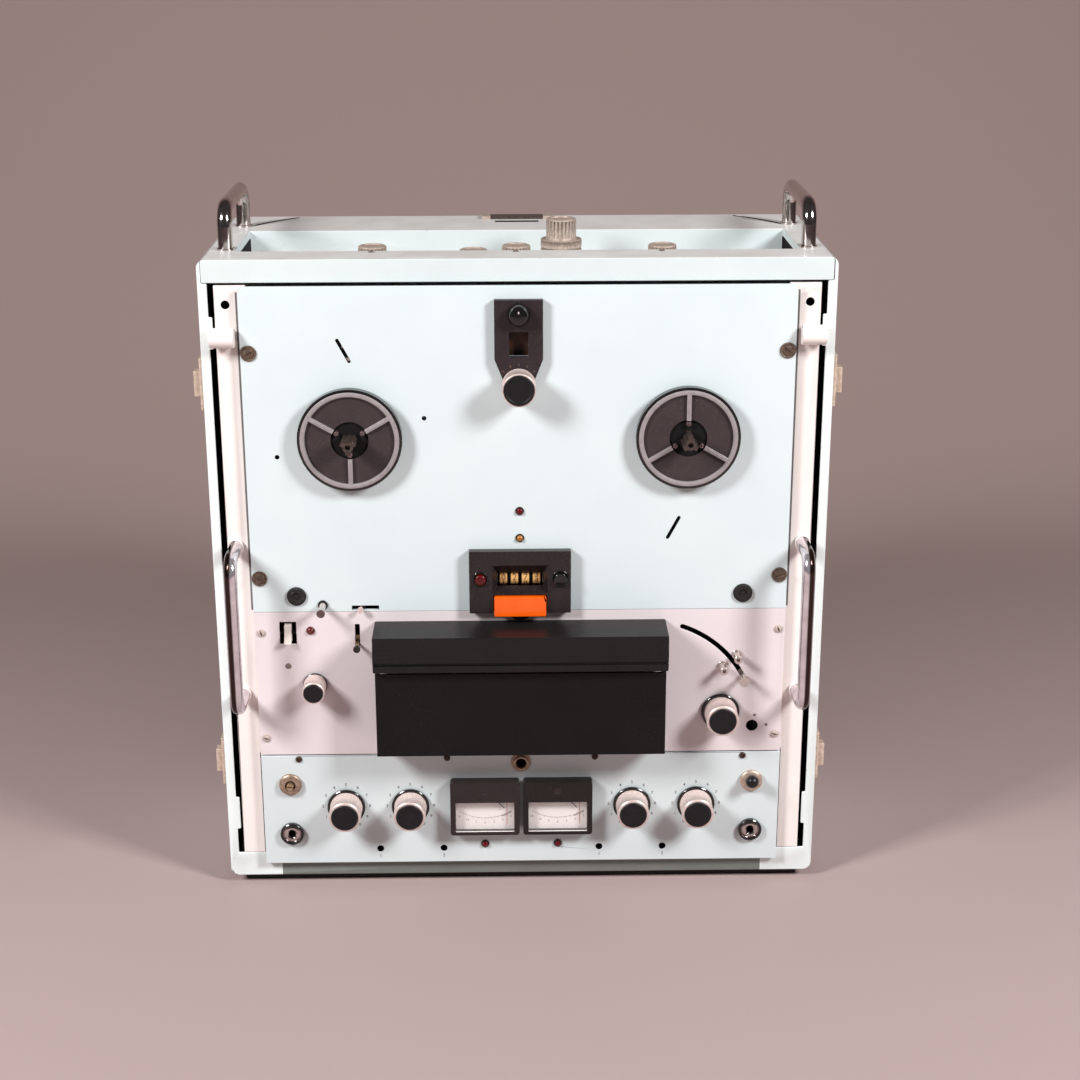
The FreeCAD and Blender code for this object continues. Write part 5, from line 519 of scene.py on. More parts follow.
# Painted light and shade: the walls of each window get the card's white in place of the shade in the recess,
# and the right housing is painted darker than the left as shade.
housing = bpy.data.objects["meter_housings_finished"]
dress(housing, "card", "cap_dark")
for face, place, normal in face_places(housing):
    in_window = abs(abs(place.x) - METER_MIDDLE) < 25.6 and 47 < height(place) < 75.6 and depth(place) > -15
    face.material_index = 1 if in_window and abs(normal.y) < 0.3 else 2 * int(place.x > 0)
# Painted shade: the head panel's faces round the rocker's pivot, seen in its opening, are black.
for face, place, normal in face_places(bpy.data.objects["head_panel_finished"]):
    if math.hypot(depth(place) + 4, height(place) - 229.2) < 1.7 and abs(place.x + 194) < 7:
        face.material_index = 1

# %% Finishes of the nodes that keep their shape
# Painted shade: the chassis frame gets a dark steel as the shade inside the case.
KEPT = {
    "chrome": ["top_handles"], "bar_chrome": ["rack_handles"], "dark_steel": ["chassis_frame"],
    "motor_paint": ["drive_motors", "mains_transformer"], "belt_rubber": ["drive_belt"],
    "board": ["circuit_boards"], "steel": ["panel_controls", "capstan_flywheel", "pinch_arm"],
    "brass": ["motor_pulley", "preset_spindle"], "rubber": ["pinch_roller"], "pale_steel": ["tension_arm"],
    "cream_metal": ["tension_lever"], "black_plastic": ["toggle_lever"],
    "cap_dark": ["meter_needle_left", "meter_needle_right"],
    "lock_brown": ["reel_lock_left", "reel_lock_right"],
}
for material, nodes in KEPT.items():
    for node in nodes:
        piece = frame["nodes"][node]
        piece.data.materials.clear()
        dress(piece, material)
print("nodes with a finish alone:", sum(len(nodes) for nodes in KEPT.values()))

# %% [markdown]
# Knobs, turntables, screws and sockets are round, and each has more than one finish. They could be spun from
# a profile, or built as a disc that is extruded and resized step by step, as on a lathe. The second way
# keeps the steps readable, as pairs of a distance along the axis and a radius.

# %% Turning a round piece
FACING = {"front": (math.pi / 2, 0, 0), "up": (0, 0, 0), "right": (0, math.pi / 2, 0),
          "left": (0, -math.pi / 2, 0)}


def turned(name, foot, steps, sides=96, facing="front", soft=0.2):
    """Turns a piece from pairs of (distance from the foot, radius) in millimetres, and rounds its edges."""
    only()
    bpy.ops.mesh.primitive_circle_add(vertices=sides, radius=steps[0][1] * MM, fill_type="NGON")
    piece = bpy.context.object
    piece.name = name
    with editing("FACE"):
        bpy.ops.transform.translate(value=(0, 0, steps[0][0] * MM))
        for (start, before), (end, after) in zip(steps, steps[1:]):
            bpy.ops.mesh.extrude_region_move(TRANSFORM_OT_translate={"value": (0, 0, (end - start) * MM)})
            ratio = after / before
            bpy.ops.transform.resize(value=(ratio, ratio, 1), center_override=(0, 0, end * MM))
        bpy.ops.mesh.select_all(action="SELECT")
        bpy.ops.mesh.normals_make_consistent(inside=False)
    piece.rotation_euler = FACING[facing]
    piece.location = foot
    place_mesh(piece)
    if soft:
        round_edges(piece, soft)
    else:
        bpy.ops.object.shade_smooth_by_angle(angle=math.radians(30))
    return piece


def tint(piece, materials, choose):
    """Gives a piece several finishes: choose takes a face's centre in millimetres and returns a number."""
    dress(piece, *materials)
    for face, place, normal in face_places(piece):
        face.material_index = choose(place)


def joined(pieces, name):
    """Joins pieces to one object."""
    only(pieces[0])
    for piece in pieces:
        piece.select_set(True)
    if len(pieces) > 1:
        bpy.ops.object.join()
    pieces[0].name = name
    return pieces[0]


def around(piece, centre, angle):
    """Turns a piece's mesh about the front-to-back line through a centre, by an angle in degrees."""
    swing = Matrix.Rotation(math.radians(angle), 4, "Y")
    piece.data.transform(Matrix.Translation(centre) @ swing @ Matrix.Translation(-centre))
    return piece


def bar(name, low, high, soft=0.3):
    """A bar between two corners, with rounded edges."""
    only()
    middle = (low + high) / 2
    bpy.ops.mesh.primitive_cube_add(size=1, location=middle, scale=high - low)
    piece = place_mesh(bpy.context.object)
    piece.name = name
    if soft:
        round_edges(piece, soft)
    return piece


def radius_from(centre, point):
    """How far a point lies from a front-to-back axis, in millimetres. Both are places in the frame."""
    return math.hypot(point.x - centre.x / MM, point.z - centre.z / MM)


# %% [markdown]
# A turntable is a black dish with a thin dark skirt, a pale rim, three pale spokes and three pins that lock
# into a reel. Its spindle has three wings, and behind it a shaft goes through the panel. One function
# makes both. The spokes of the right one point the other way.

# %% Turntables
finish("rim_metal", (172, 163, 164), (158, 149, 151), (0.35, 0.5), metal=0.3, scale=200.0, bump=0.03)
REEL_ACROSS = 136.5
REEL_HIGH = 397.8
DISH = 2.5
SPOKE = 3.6
PLATTER = (-7.5, -16.5)
RIM = (36.2, 40.1)
SKIRT = 42.3
HUB = 15.3
PIN_CIRCLE = 12.1
PIN = 2.1
CORE = 4.4
WING = (2.0, 6.4)
SPINDLE_TIP = -27.0
finish("spindle_brown", (92, 78, 73), (66, 55, 52), (0.3, 0.45), metal=0.5, scale=420.0, bump=0.1)


def turntable(side, across, first_spoke):
    """Builds one turntable with its spokes, pins and spindle, in four finishes."""
    foot = spot(across, PLATTER[0], REEL_HIGH)
    high = PLATTER[0] - PLATTER[1]
    tip = PLATTER[0] - SPINDLE_TIP
    disc = turned(f"platter_{side}", foot, [
        (-63.5, 4), (0, 4), (0, SKIRT - 1), (0.6, SKIRT), (high - 1.4, SKIRT), (high - 1, SKIRT - 0.4),
        (high - 1, RIM[1] + 0.5), (high - 0.9, RIM[1]), (high - 0.3, RIM[1] - 0.4), (high, RIM[1] - 1.3),
        (high, RIM[0] + 1.3), (high - 0.3, RIM[0] + 0.4), (high - 0.9, RIM[0]), (high - DISH, RIM[0]),
        (high - DISH, HUB), (high - 4, HUB), (high - 4, CORE), (tip, CORE), (tip, 2.4), (tip - 1, 2.2),
        (tip - 1, 0.5)], sides=128, soft=0)
    finish(f"dish_brown_{side}", (62, 51, 52), (54, 44, 46), (0.3, 0.55), rings=(foot.x, foot.z, 1400.0),
           bump=0.1, dust=0.12, specular=0.4)
    parts = [disc]
    for index in range(3):
        angle = first_spoke + 120 * index
        arm = bar(f"spoke_{side}_{index}", spot(across - SPOKE / 2, PLATTER[1] + 0.2, REEL_HIGH + HUB - 0.5),
                  spot(across + SPOKE / 2, PLATTER[1] + DISH + 0.5, REEL_HIGH + RIM[0] + 0.5), 0.3)
        ridge = bar(f"ridge_{side}_{index}", spot(across - 0.6, PLATTER[1] - 0.05, REEL_HIGH + HUB + 3),
                    spot(across + 0.6, PLATTER[1] + 1, REEL_HIGH + RIM[0] - 3), 0.15)
        pin = turned(f"pin_{side}_{index}", spot(across, PLATTER[1] + 4, REEL_HIGH + PIN_CIRCLE),
                     [(-1, PIN), (3.4, PIN), (4, PIN - 0.5), (4, 0.8)], sides=32, soft=0.15)
        wing = bar(f"wing_{side}_{index}", spot(across - WING[0], SPINDLE_TIP + 0.1, REEL_HIGH),
                   spot(across + WING[0], PLATTER[1] + 3.5, REEL_HIGH + WING[1]), 0.5)
        for part in (arm, ridge, pin, wing):
            parts.append(around(part, foot, angle))
    whole = joined(parts, f"turntable_{side}_finished")

    def choose(point):
        reach = radius_from(foot, point)
        front = depth(point)
        if reach > RIM[1] + 0.2:
            return 0
        if reach > RIM[0] - 0.2 and front < -13.9:
            return 1
        if abs(reach - PIN_CIRCLE) < PIN + 0.4 and front < -13.0:
            return 5
        if reach > HUB + 0.4 and front < -14.15:
            return 1
        if reach < WING[1] + 0.6 and front < -13.2:
            return 3
        # Painted shade: the hub's well round the spindle is black.
        return 4 if reach < HUB + 0.2 else 2

    tint(whole, ["gloss_black", "rim_metal", f"dish_brown_{side}", "spindle_brown", "shadow_black",
                 "post_cap"], choose)
    return stand_in(whole, f"turntable_{side}", "turntable_metal")


for side, sign, first in (("left", -1, 180), ("right", 1, 0)):
    platter = turntable(side, sign * REEL_ACROSS, first)
    print(platter.name, "faces", len(platter.data.polygons))

# %% [markdown]
# Every knob has the same build: a dark skirt against the panel, a pale metal sleeve with fine flutes, and a
# black cap set into its front. Only the sizes differ, so one function turns all six. The flutes are real:
# every second face of the sleeve is pushed in a little.

# %% Knobs
finish("cap_black", (24, 22, 24), (19, 18, 20), (0.4, 0.55), bump=0.03, dust=0.08, specular=0.3)
PANEL = -6.0
FACET = 360 / 96
GAIN_HIGH = 68.7


def knob(node, across, high, back, ring, sleeve, cap, front, tail):
    """Turns a knob. Radii and depths are in millimetres; depths are those of the case's own frame."""
    foot = spot(across, back, high)
    long = back - front
    piece = turned(node + "_finished", foot, [
        (back - tail, 3), (0, 3), (0, ring - 0.3), (0.3, ring), (2.0, ring), (2.5, ring - 0.6),
        (2.5, sleeve + 0.3), (2.9, sleeve), (long - 1.9, sleeve), (long - 1.2, sleeve - 0.7),
        (long - 1.2, cap + 0.05), (long - 0.5, cap), (long, cap - 0.6), (long, cap - 2.2),
        (long - 0.25, cap - 2.25), (long - 0.25, 1.2)], soft=0)
    flute(piece, foot, sleeve, back - 3.5, front + 3.0)

    def choose(point):
        if depth(point) > back - 2.7:
            return 0
        return 2 if depth(point) < front + 1.15 and radius_from(foot, point) < cap + 0.2 else 1

    tint(piece, ["gloss_black", "cream_metal", "cap_black"], choose)
    return stand_in(piece, node, "knob_aluminium")


def press(piece, chosen, rim, deep):
    """Presses the chosen faces of a piece inwards by millimetres, each inside a rim."""
    for face, place, normal in face_places(piece):
        face.select = chosen(place)
    only(piece)
    with editing("FACE", False):
        bpy.ops.mesh.inset(thickness=rim * MM, depth=-deep * MM, use_individual=True)


def flute(piece, foot, radius, back, front, deep=0.22):
    """Presses every second side face between two depths inwards."""
    def chosen(point):
        angle = math.degrees(math.atan2(point.x - foot.x / MM, point.z - foot.z / MM)) % 360
        side_number = round((angle - FACET / 2) / FACET)
        near = abs(radius_from(foot, point) - radius) < 0.5
        return front < depth(point) < back and near and side_number % 2 == 0

    press(piece, chosen, 0.12, deep)


GAINS = {"replay_gain_left": -150.6, "record_gain_left": -95.4, "record_gain_right": 95.4,
         "replay_gain_right": 150.6}
for node, across in GAINS.items():
    knob(node, across, GAIN_HIGH, -6.6, 16.2, 13.6, 11.5, -29.6, tail=14)
knob("transport_knob", 169.6, 155, -6.6, 16.2, 13.6, 11.5, -29.6, tail=14)
knob("function_knob", -173, 183, -6.6, 10.2, 9.4, 8.2, -28.1, tail=14)
print("knobs:", len(GAINS) + 2)

# %% [markdown]
# The speed knob sits on a short shaft with a dark disc behind the shield's window; the disc's orange-brown
# patches are a painted glimmer. It has no skirt, only a pale sleeve and a broad black cap. The spooling dial
# above it is a small ribbed button with a white line.

# %% Speed knob and spooling dial
SHIELD = -12.0
selector = spot(0, SHIELD - 0.6, 442.35)
speed = turned("speed_knob_finished", selector, [
    (-18.7, 3), (-12.7, 3), (-12.7, 44), (-11.2, 44), (-11.2, 3), (0, 3), (0, 13.2), (0.4, 13.6), (17.4, 13.6),
    (18.1, 12.9), (18.1, 12.45), (18.8, 12.4), (19.3, 11.8), (19.3, 10.2), (19.05, 9.8), (19.05, 1.2)], soft=0)
flute(speed, selector, 13.6, SHIELD - 1.2, SHIELD - 17.6)
# Painted glimmer: the disc is dark brown with orange-brown patches that stand for light in the window.
finish("dark_disc_painted_glimmer", (34, 24, 20), (84, 48, 28), (0.4, 0.55), scale=90.0)


def choose_speed(point):
    if depth(point) > SHIELD:
        return 2
    return 1 if depth(point) < SHIELD - 18.7 and radius_from(selector, point) < 12.6 else 0


tint(speed, ["cream_metal", "cap_black", "dark_disc_painted_glimmer"], choose_speed)
stand_in(speed, "speed_knob", "knob_aluminium")

dial_foot = spot(0, SHIELD - 0.6, 499.5)
dial = turned("spooling_dial_finished", dial_foot, [
    (-16, 3), (0, 3), (0, 9), (0.4, 9.2), (3, 9.1), (6.6, 7.6), (7.6, 7), (8, 6.2), (8, 1)], soft=0)
flute(dial, dial_foot, 9.1, SHIELD - 1.0, SHIELD - 3.4, 0.3)
line = bar("dial_line", spot(-0.5, SHIELD - 8.7, 501.6), spot(0.5, SHIELD - 8, 503.4), 0.1)
dial = joined([dial, line], "spooling_dial_finished")
tint(dial, ["gloss_black", "white_ink"], lambda point: int(depth(point) < SHIELD - 8.62))
stand_in(dial, "spooling_dial", "black_plastic")
ticks = []
for step in range(-2, 3):
    low, high = Vector((-0.3, 0.55, 15.6)) * MM, Vector((0.3, 0.7, 17.4)) * MM
    ticks.append(around(bar("tick", selector + low, selector + high, 0), selector, 24 * step))
settle(joined(ticks, "speed_ticks"), "recorder", "screw_tan")
print("speed knob faces", len(speed.data.polygons))

# %% [markdown]
# Numbers are needed on the counter drums and round the gain knobs. Each is a text object that is made a mesh
# before it is placed. On a drum the strokes also follow the curve: height on the flat number becomes an
# angle round the axle.

# %% Numbers
def number(text, size, place, thick=0.03, bold=0.0):
    """A number that faces the front, with its middle at a place. The rest is in millimetres."""
    only()
    bpy.ops.object.text_add(location=(0, 0, 0))
    words = bpy.context.object
    words.data.body = text
    words.data.size = size * MM
    words.data.extrude = thick * MM
    words.data.offset = bold * MM
    words.data.align_x = "CENTER"
    words.data.align_y = "CENTER"
    words.data.resolution_u = 3
    bpy.ops.object.convert(target="MESH")
    words.rotation_euler = (math.pi / 2, 0, 0)
    words.location = place
    return place_mesh(words)


def wrap(piece, axle, radius, angle):
    """Bends a flat number round a level axle, and turns it round the axle by an angle in degrees."""
    only(piece)
    with editing():
        bpy.ops.mesh.subdivide(number_cuts=2)
    for vertex in piece.data.vertices:
        swing = (vertex.co.z - axle.z) / radius + math.radians(angle)
        reach = radius - (vertex.co.y - (axle.y - radius))
        vertex.co.y = axle.y - reach * math.cos(swing)
        vertex.co.z = axle.z + reach * math.sin(swing)


finish("digit_ink", (120, 84, 56), (104, 70, 48), (0.5, 0.6), dust=0.02)
DRUM_PITCH = 9.1
DRUM = 9.0
DRUM_PALE = 3
SHOWN = {"thousands": 0, "hundreds": 2, "tens": 7, "units": 3.45}
for place, (name, shown) in enumerate(SHOWN.items()):
    middle = spot((place - 1.5) * DRUM_PITCH, 4.2, 276.5)
    drum = turned(f"drum_{name}", middle, [
        (-4.1, 1.6), (-4.1, 8.5), (-3.6, DRUM), (-DRUM_PALE, DRUM), (DRUM_PALE, DRUM), (3.6, DRUM), (4.1, 8.5),
        (4.1, 1.6)], sides=80, facing="right", soft=0)
    digits = []
    for digit in range(10):
        flat = number(str(digit), 7.4, middle + Vector((0, -DRUM * MM, 0)), 0.06)
        wrap(flat, middle, DRUM * MM, (shown - digit) * 36)
        digits.append(flat)
    whole = joined([drum] + digits, f"counter_drum_{name}_finished")

    def choose_drum(point):
        reach = math.hypot(point.y - middle.y / MM, point.z - middle.z / MM)
        return 2 if abs(point.x - middle.x / MM) > DRUM_PALE else int(reach > DRUM + 0.012)

    # Painted shade: the drums' ends are black, as the gaps between the drums.
    tint(whole, ["amber", "digit_ink", "shadow_black"], choose_drum)
    stand_in(whole, f"counter_drum_{name}", "drum_plastic")
print("counter drums:", len(SHOWN))

# %% [markdown]
# The record button and the reset button are turned, with a soft crown on the first and a shallow dish in
# the second. The indicator lamps are coloured domes in thin black rings, and the upper deck lamp, the mains
# lamp and the record lamps are red, the lower deck lamp amber.

# %% Buttons and lamps
BUTTONS = {"record_button": -32.8, "counter_reset_button": 33.4}
BUTTON_HIGH = 278
record = turned("record_button_finished", spot(BUTTONS["record_button"], PANEL, BUTTON_HIGH), [
    (-2, 3), (3, 3), (3, 4.6), (10.4, 4.6), (11.0, 4.2), (11.4, 3.2), (11.5, 1.2)], sides=48, soft=0.15)
stand_in(record, "record_button", "red_plastic", "red_plastic")
reset = turned("reset_button_finished", spot(BUTTONS["counter_reset_button"], PANEL, BUTTON_HIGH), [
    (-2, 3), (3, 3), (3, 5.8), (10.8, 5.8), (11.4, 5.2), (11.4, 4.6), (10.9, 3.4), (10.8, 1)], sides=48,
    soft=0.15)
stand_in(reset, "counter_reset_button", "black_plastic", "gloss_black")

finish("lamp_red", (112, 6, 18), (84, 4, 12), (0.1, 0.2), coat=0.2, dust=0.0, specular=0.3)
finish("lamp_amber", (176, 112, 40), (146, 86, 30), (0.1, 0.2), coat=0.3, dust=0.0)
finish("lamp_brown", (112, 38, 34), (88, 28, 26), (0.1, 0.2), coat=0.3, dust=0.0)
LAMPS = [(0, 334.7, 0), (0, 311.4, 1), (-175.2, 231.1, 2), (-31.5, 31.6, 0), (31.5, 31.6, 0)]
lamps = []
for index, (across, high, colour) in enumerate(LAMPS):
    lamps.append(turned(f"lamp_{index}", spot(across, PANEL, high), [
        (-8, 2.4), (0, 2.4), (0, 3.4), (0.9, 3.4), (1.2, 3.1), (1.2, 2.7), (0.9, 2.6), (1.6, 2.5), (2.3, 2.0),
        (2.7, 1.2), (2.8, 0.4)], sides=40, soft=0))
lamps = joined(lamps, "indicator_lamps_finished")


def choose_lamp(point):
    for across, high, colour in LAMPS:
        reach = radius_from(spot(across, PANEL, high), point)
        if reach < 4:
            dome = depth(point) < PANEL - 0.95 and reach < 2.56
            return 1 + colour if dome or colour == 2 else 0
    return 0


tint(lamps, ["gloss_black", "lamp_red", "lamp_amber", "lamp_brown"], choose_lamp)
stand_in(lamps, "indicator_lamps", "lamp_plastic")
print("lamps:", len(LAMPS))

# %% [markdown]
# Three posts guide the tape: the left one has a black flange and a dark cap, the right ones are pale. The
# tape switch has a dark tip on a brass pin. Dark rings round the two recessed buttons of the counter are
# painted shade, as the dark of their recesses.

# %% Guide posts, tape switch and button rings
POSTS = [(-164, 254, 22), (170.6, 196.7, 14), (182, 206.8, 14)]
posts = []
for across, high, long in POSTS:
    posts.append(turned("post", spot(across, PANEL, high), [
        (-0.5, 3.8), (0, 4.0), (0.2, 4.2), (1.3, 4.2), (1.6, 3.9), (1.6, 2.7), (1.8, 2.6), (long - 1.8, 2.6),
        (long - 1.6, 2.8), (long - 1.4, 3.5), (long - 0.3, 3.5), (long, 3.2), (long, 1.6), (long - 0.3, 1.4),
        (long - 0.3, 0.5)], sides=48, soft=0))
posts = joined(posts, "guide_posts_finished")


def choose_post(point):
    front = PANEL - depth(point)
    if point.x < 0:
        return 1 if front < 1.7 else 2 if front > 20.3 else 0
    middle = min(radius_from(spot(across, 0, high), point) for across, high, long in POSTS)
    return 2 if front > 13.5 and middle < 1.7 else 0


tint(posts, ["pale_steel", "gloss_black", "post_cap"], choose_post)
stand_in(posts, "guide_posts", "bright_steel")
switch = copy_of("tape_switch", "tape_switch_finished", False)
round_edges(switch, 0.3)
tint(switch, ["brass", "gloss_black"], lambda point: int(depth(point) < PANEL - 8.5))
stand_in(switch, "tape_switch", "black_plastic")
# Painted shade: black rings round the two counter buttons stand for the shade in their recesses.
rings = []
for across, wide in zip(BUTTONS.values(), (5.9, 6.9)):
    only()
    bpy.ops.mesh.primitive_torus_add(major_radius=wide * MM, minor_radius=0.8 * MM, major_segments=48,
                                     minor_segments=12, location=spot(across, PANEL - 8, BUTTON_HIGH),
                                     rotation=FACING["front"])
    ring = bpy.context.object
    ring.scale.z = 0.6
    rings.append(place_mesh(ring))
    bpy.ops.object.shade_smooth()
settle(joined(rings, "button_shade_rings"), "recorder", "gloss_black")
print("posts, switch and rings done")

# %% [markdown]
# The deck plate hangs on four large screws in bronze cups, and small screws hold the other two panels. A
# head is turned first. Its slot is then cut with a thin bar and the boolean modifier.

# %% Panel screws
def cut_slot(piece, low, high):
    """Cuts a slot between two corners into a piece."""
    blade = bar("blade", low, high, 0)
    only(piece)
    slot_cut = piece.modifiers.new("Slot", "BOOLEAN")
    slot_cut.object = blade
    slot_cut.solver = "EXACT"
    bpy.ops.object.modifier_apply(modifier=slot_cut.name)
    bpy.data.objects.remove(blade)


def slotted(name, across, high, steps, reach, turn):
    """A turned head with a slot across it."""
    foot = spot(across, PANEL, high)
    head = turned(name, foot, steps, sides=40, soft=0)
    front = steps[-1][0]
    around(head, foot, -turn)
    cut_slot(head, spot(across - reach, PANEL - front - 1, high - 0.45),
             spot(across + reach, PANEL - front + 0.8, high + 0.45))
    return around(head, foot, turn)


finish("screw_bronze", (134, 114, 100), (84, 68, 58), (0.3, 0.5), metal=0.6, scale=420.0, bump=0.1, dust=0.3,
       dust_colour=(196, 180, 168))
CUP = [(-3, 2.4), (0, 2.4), (0, 6.3), (0.4, 6.6), (1.1, 6.3), (1.3, 5.6), (0.9, 4.6), (0.9, 4.3), (1.5, 4.0),
       (1.9, 3.0), (2.0, 1.0)]
SMALL = [(-3, 2.4), (0, 2.4), (0, 3.4), (0.3, 3.6), (0.7, 3.5), (0.9, 3.0), (0.9, 2.5), (1.5, 2.3), (1.9, 1.0)]
DARK = [(-3, 2.4), (0, 2.4), (0, 2.6), (0.3, 2.8), (1.0, 2.6), (1.5, 2.0), (1.8, 0.9)]
HEAD_SCREWS = (216.4, (229.5, 133.6))
screws = []
for sign in (-1, 1):
    for high, turn in ((468, 35), (277.5, -20)):
        screws.append(slotted("deck_screw", sign * 215.4, high, CUP, 3.6, turn * sign))
    for high, turn in zip(HEAD_SCREWS[1], (70, 15)):
        screws.append(slotted("panel_screw", sign * HEAD_SCREWS[0], high, SMALL, 4, turn))
    for across, turn in ((189.8, -50), (63.3, 10)):
        screws.append(slotted("panel_screw", sign * across, 113.4, DARK, 4, turn * sign))
screws = joined(screws, "panel_screws_finished")


# Painted shade: the control panel's screws, below the head panel, get the brown finish darkened as shade.
def choose_screw(point):
    high = height(point)
    if not 120 < high < 250:
        return int(high < 120)
    near = min(math.hypot(abs(point.x) - HEAD_SCREWS[0], high - place) for place in HEAD_SCREWS[1])
    return 3 if near < 1.5 else 2


finish("screw_cream", (214, 198, 190), (190, 174, 166), (0.3, 0.5), metal=0.2, scale=420.0, dust=0.2)
finish("screw_grey", (140, 122, 116), (112, 98, 92), (0.4, 0.6), metal=0.2, scale=420.0)
tint(screws, ["screw_bronze", "shaded_screw_brown", "screw_cream", "screw_grey"], choose_screw)
stand_in(screws, "panel_screws", "screw_bronze")
print("screws, faces:", len(screws.data.polygons))

# %% [markdown]
# Nuts and sockets stand in the corners of the control panel. The upper two are bronze nuts, for a slotted
# spindle and a toggle. The lower two are sockets: a black ring, a bright cone and a dark bore.

# %% Nuts and sockets
jack_steps = [(-24, 7.9), (0, 7.9), (0, 9.7), (0.3, 10), (3.4, 10), (4, 9.3), (4, 8.2), (3.2, 7.6), (2.4, 7.4),
              (2.8, 6.8), (3.2, 6.0), (3.2, 4.4), (2.4, 3.3), (-20, 3.2)]
nut_steps = [(-14, 4.5), (0, 4.5), (0, 9.3), (0.4, 9.6), (2.6, 9.6), (3.4, 8.8), (4, 7.0), (4, 4.6), (-2, 4.5)]
balance_steps = [(-10, 6.3), (0, 6.3), (0, 8.3), (0.3, 8.6), (0.9, 8.6), (1.2, 8.2), (1.2, 6.7), (3.0, 6.6),
                 (3.5, 6.0), (3.5, 4.8), (1.2, 4.2), (1.2, 3.2), (-6, 3.1)]
finish("toggle_bronze", (214, 194, 178), (180, 156, 140), (0.3, 0.5), metal=0.6, scale=320.0, dust=0.4)
JACK = (198.2, 43.7)
BALANCE_HIGH = 109
sockets = []
for sign in (-1, 1):
    sockets.append(turned("jack", spot(sign * JACK[0], PANEL, JACK[1]), jack_steps, sides=64, soft=0))
    foot = spot(sign * 197.8, PANEL, 90.3)
    nut = turned("nut", foot, nut_steps, sides=96, soft=0)
    flute(nut, foot, 9.6, PANEL - 0.5, PANEL - 2.5, 0.4)
    sockets.append(nut)
sockets.append(turned("balance", spot(0, PANEL, BALANCE_HIGH), balance_steps, sides=48, soft=0))
sockets = joined(sockets, "panel_bushings_finished")


def choose_socket(point):
    for sign in (-1, 1):
        reach = radius_from(spot(sign * JACK[0], PANEL, JACK[1]), point)
        if reach < 10.5:
            return 2 if 3.4 < reach <= 7.5 else 1
    if abs(point.x) < 20:
        # Painted shade: the balance bushing's bore is black.
        return 4 if radius_from(spot(0, PANEL, BALANCE_HIGH), point) < 4.4 else 0
    return 3 if point.x > 0 else 0


tint(sockets, ["bronze", "gloss_black", "chrome", "toggle_bronze", "shadow_black"], choose_socket)
stand_in(sockets, "panel_bushings", "bush_bronze")
print("nuts and sockets, faces:", len(sockets.data.polygons))

# %% [markdown]
# The capped connectors in the well are ribbed bronze. They are turned upwards from the well's floor, and
# their rims are fluted like the knobs, but coarser.

# %% Connectors in the well
WELL_FLOOR = 500.0


def rib(piece, centre, radius, low, high, every=4, deep=0.5):
    """Presses groups of side faces inwards on a piece that is turned upwards."""
    def chosen(point):
        across, back = point.x - centre.x / MM, point.y - centre.y / MM
        side_number = int(math.degrees(math.atan2(back, across)) % 360 // FACET)
        near = abs(math.hypot(across, back) - radius) < 0.4
        return near and low < height(point) < high and side_number % every == 0

    press(piece, chosen, 0.1, deep)


caps = []
for across, sunk in ((-120.5, 0), (-36.7, 3.5), (-1, 0), (120.5, 0)):
    foot = spot(across, 85, WELL_FLOOR - sunk)
    cap = turned("cap", foot, [
        (0, 11.8), (24, 11.8), (24, 10.4), (25.5, 10.4), (25.5, 11.3), (26, 11.8), (36.6, 11.8), (37.6, 11.2),
        (38, 10.2), (38, 8.6), (37.2, 8.2), (37.2, 2)], facing="up", soft=0)
    rib(cap, foot, 11.8, WELL_FLOOR - sunk + 26.2, WELL_FLOOR - sunk + 36)
    caps.append(cap)
foot = spot(36.3, 85, WELL_FLOOR)
inlet = turned("inlet", foot, [
    (0, 17), (34.6, 17), (35, 16.6), (35, 15.4), (36, 15.4), (36, 16.4), (36.5, 17), (42.4, 17), (43, 16.4),
    (43, 13), (44.5, 12.4), (58.6, 12.4), (59.6, 11.8), (60, 10.8), (60, 9), (59, 8.6), (59, 2)],
    facing="up", soft=0)
rib(inlet, foot, 17, WELL_FLOOR + 36.6, WELL_FLOOR + 42.3, every=2, deep=0.4)
rib(inlet, foot, 12.4, WELL_FLOOR + 44.6, WELL_FLOOR + 58.5, deep=0.7)
caps.append(inlet)
caps = joined(caps, "well_connectors_finished")
stand_in(caps, "well_connectors", "cap_bronze", "cap_bronze")
print("connector faces:", len(caps.data.polygons))

# %% [markdown]
# Each meter has a pale card behind its window, with an arc, ticks and numbers that sag below the needle's
# pivot, and a red stretch at its right. The arc is a narrow strip that is spun in edit mode round the
# middle of the arc. A clear pane closes the window.

# %% Meters
CARD_FRONT = -9.2
PIVOT = 85.8
SCALE_MIDDLE = 97.8
SCALE = 40.0
WINDOW = (47.6, 75.2)
CARD_HALF = 25.1
DIGIT_RING = 44.4


def arc(name, across, start, end, radius, width, steps=40):
    """A thin printed arc on a meter card, between two angles from straight down, made with a spin."""
    only()
    middle = spot(across, CARD_FRONT, SCALE_MIDDLE)
    bpy.ops.mesh.primitive_plane_add(size=1, location=middle, rotation=(math.pi / 2, 0, 0))
    piece = bpy.context.object
    piece.name = name
    piece.scale = (0.00006, width * MM, 1)
    place_mesh(piece)
    piece.data.transform(Matrix.Translation((0, -0.00003, -radius * MM)))
    around(piece, middle, -start)
    with editing():
        bpy.ops.mesh.spin(steps=steps, angle=math.radians(end - start), center=middle, axis=(0, 1, 0))
        bpy.ops.mesh.select_all(action="SELECT")
        bpy.ops.mesh.remove_doubles(threshold=0.000001)
        bpy.ops.mesh.normals_make_consistent(inside=False)
    return piece


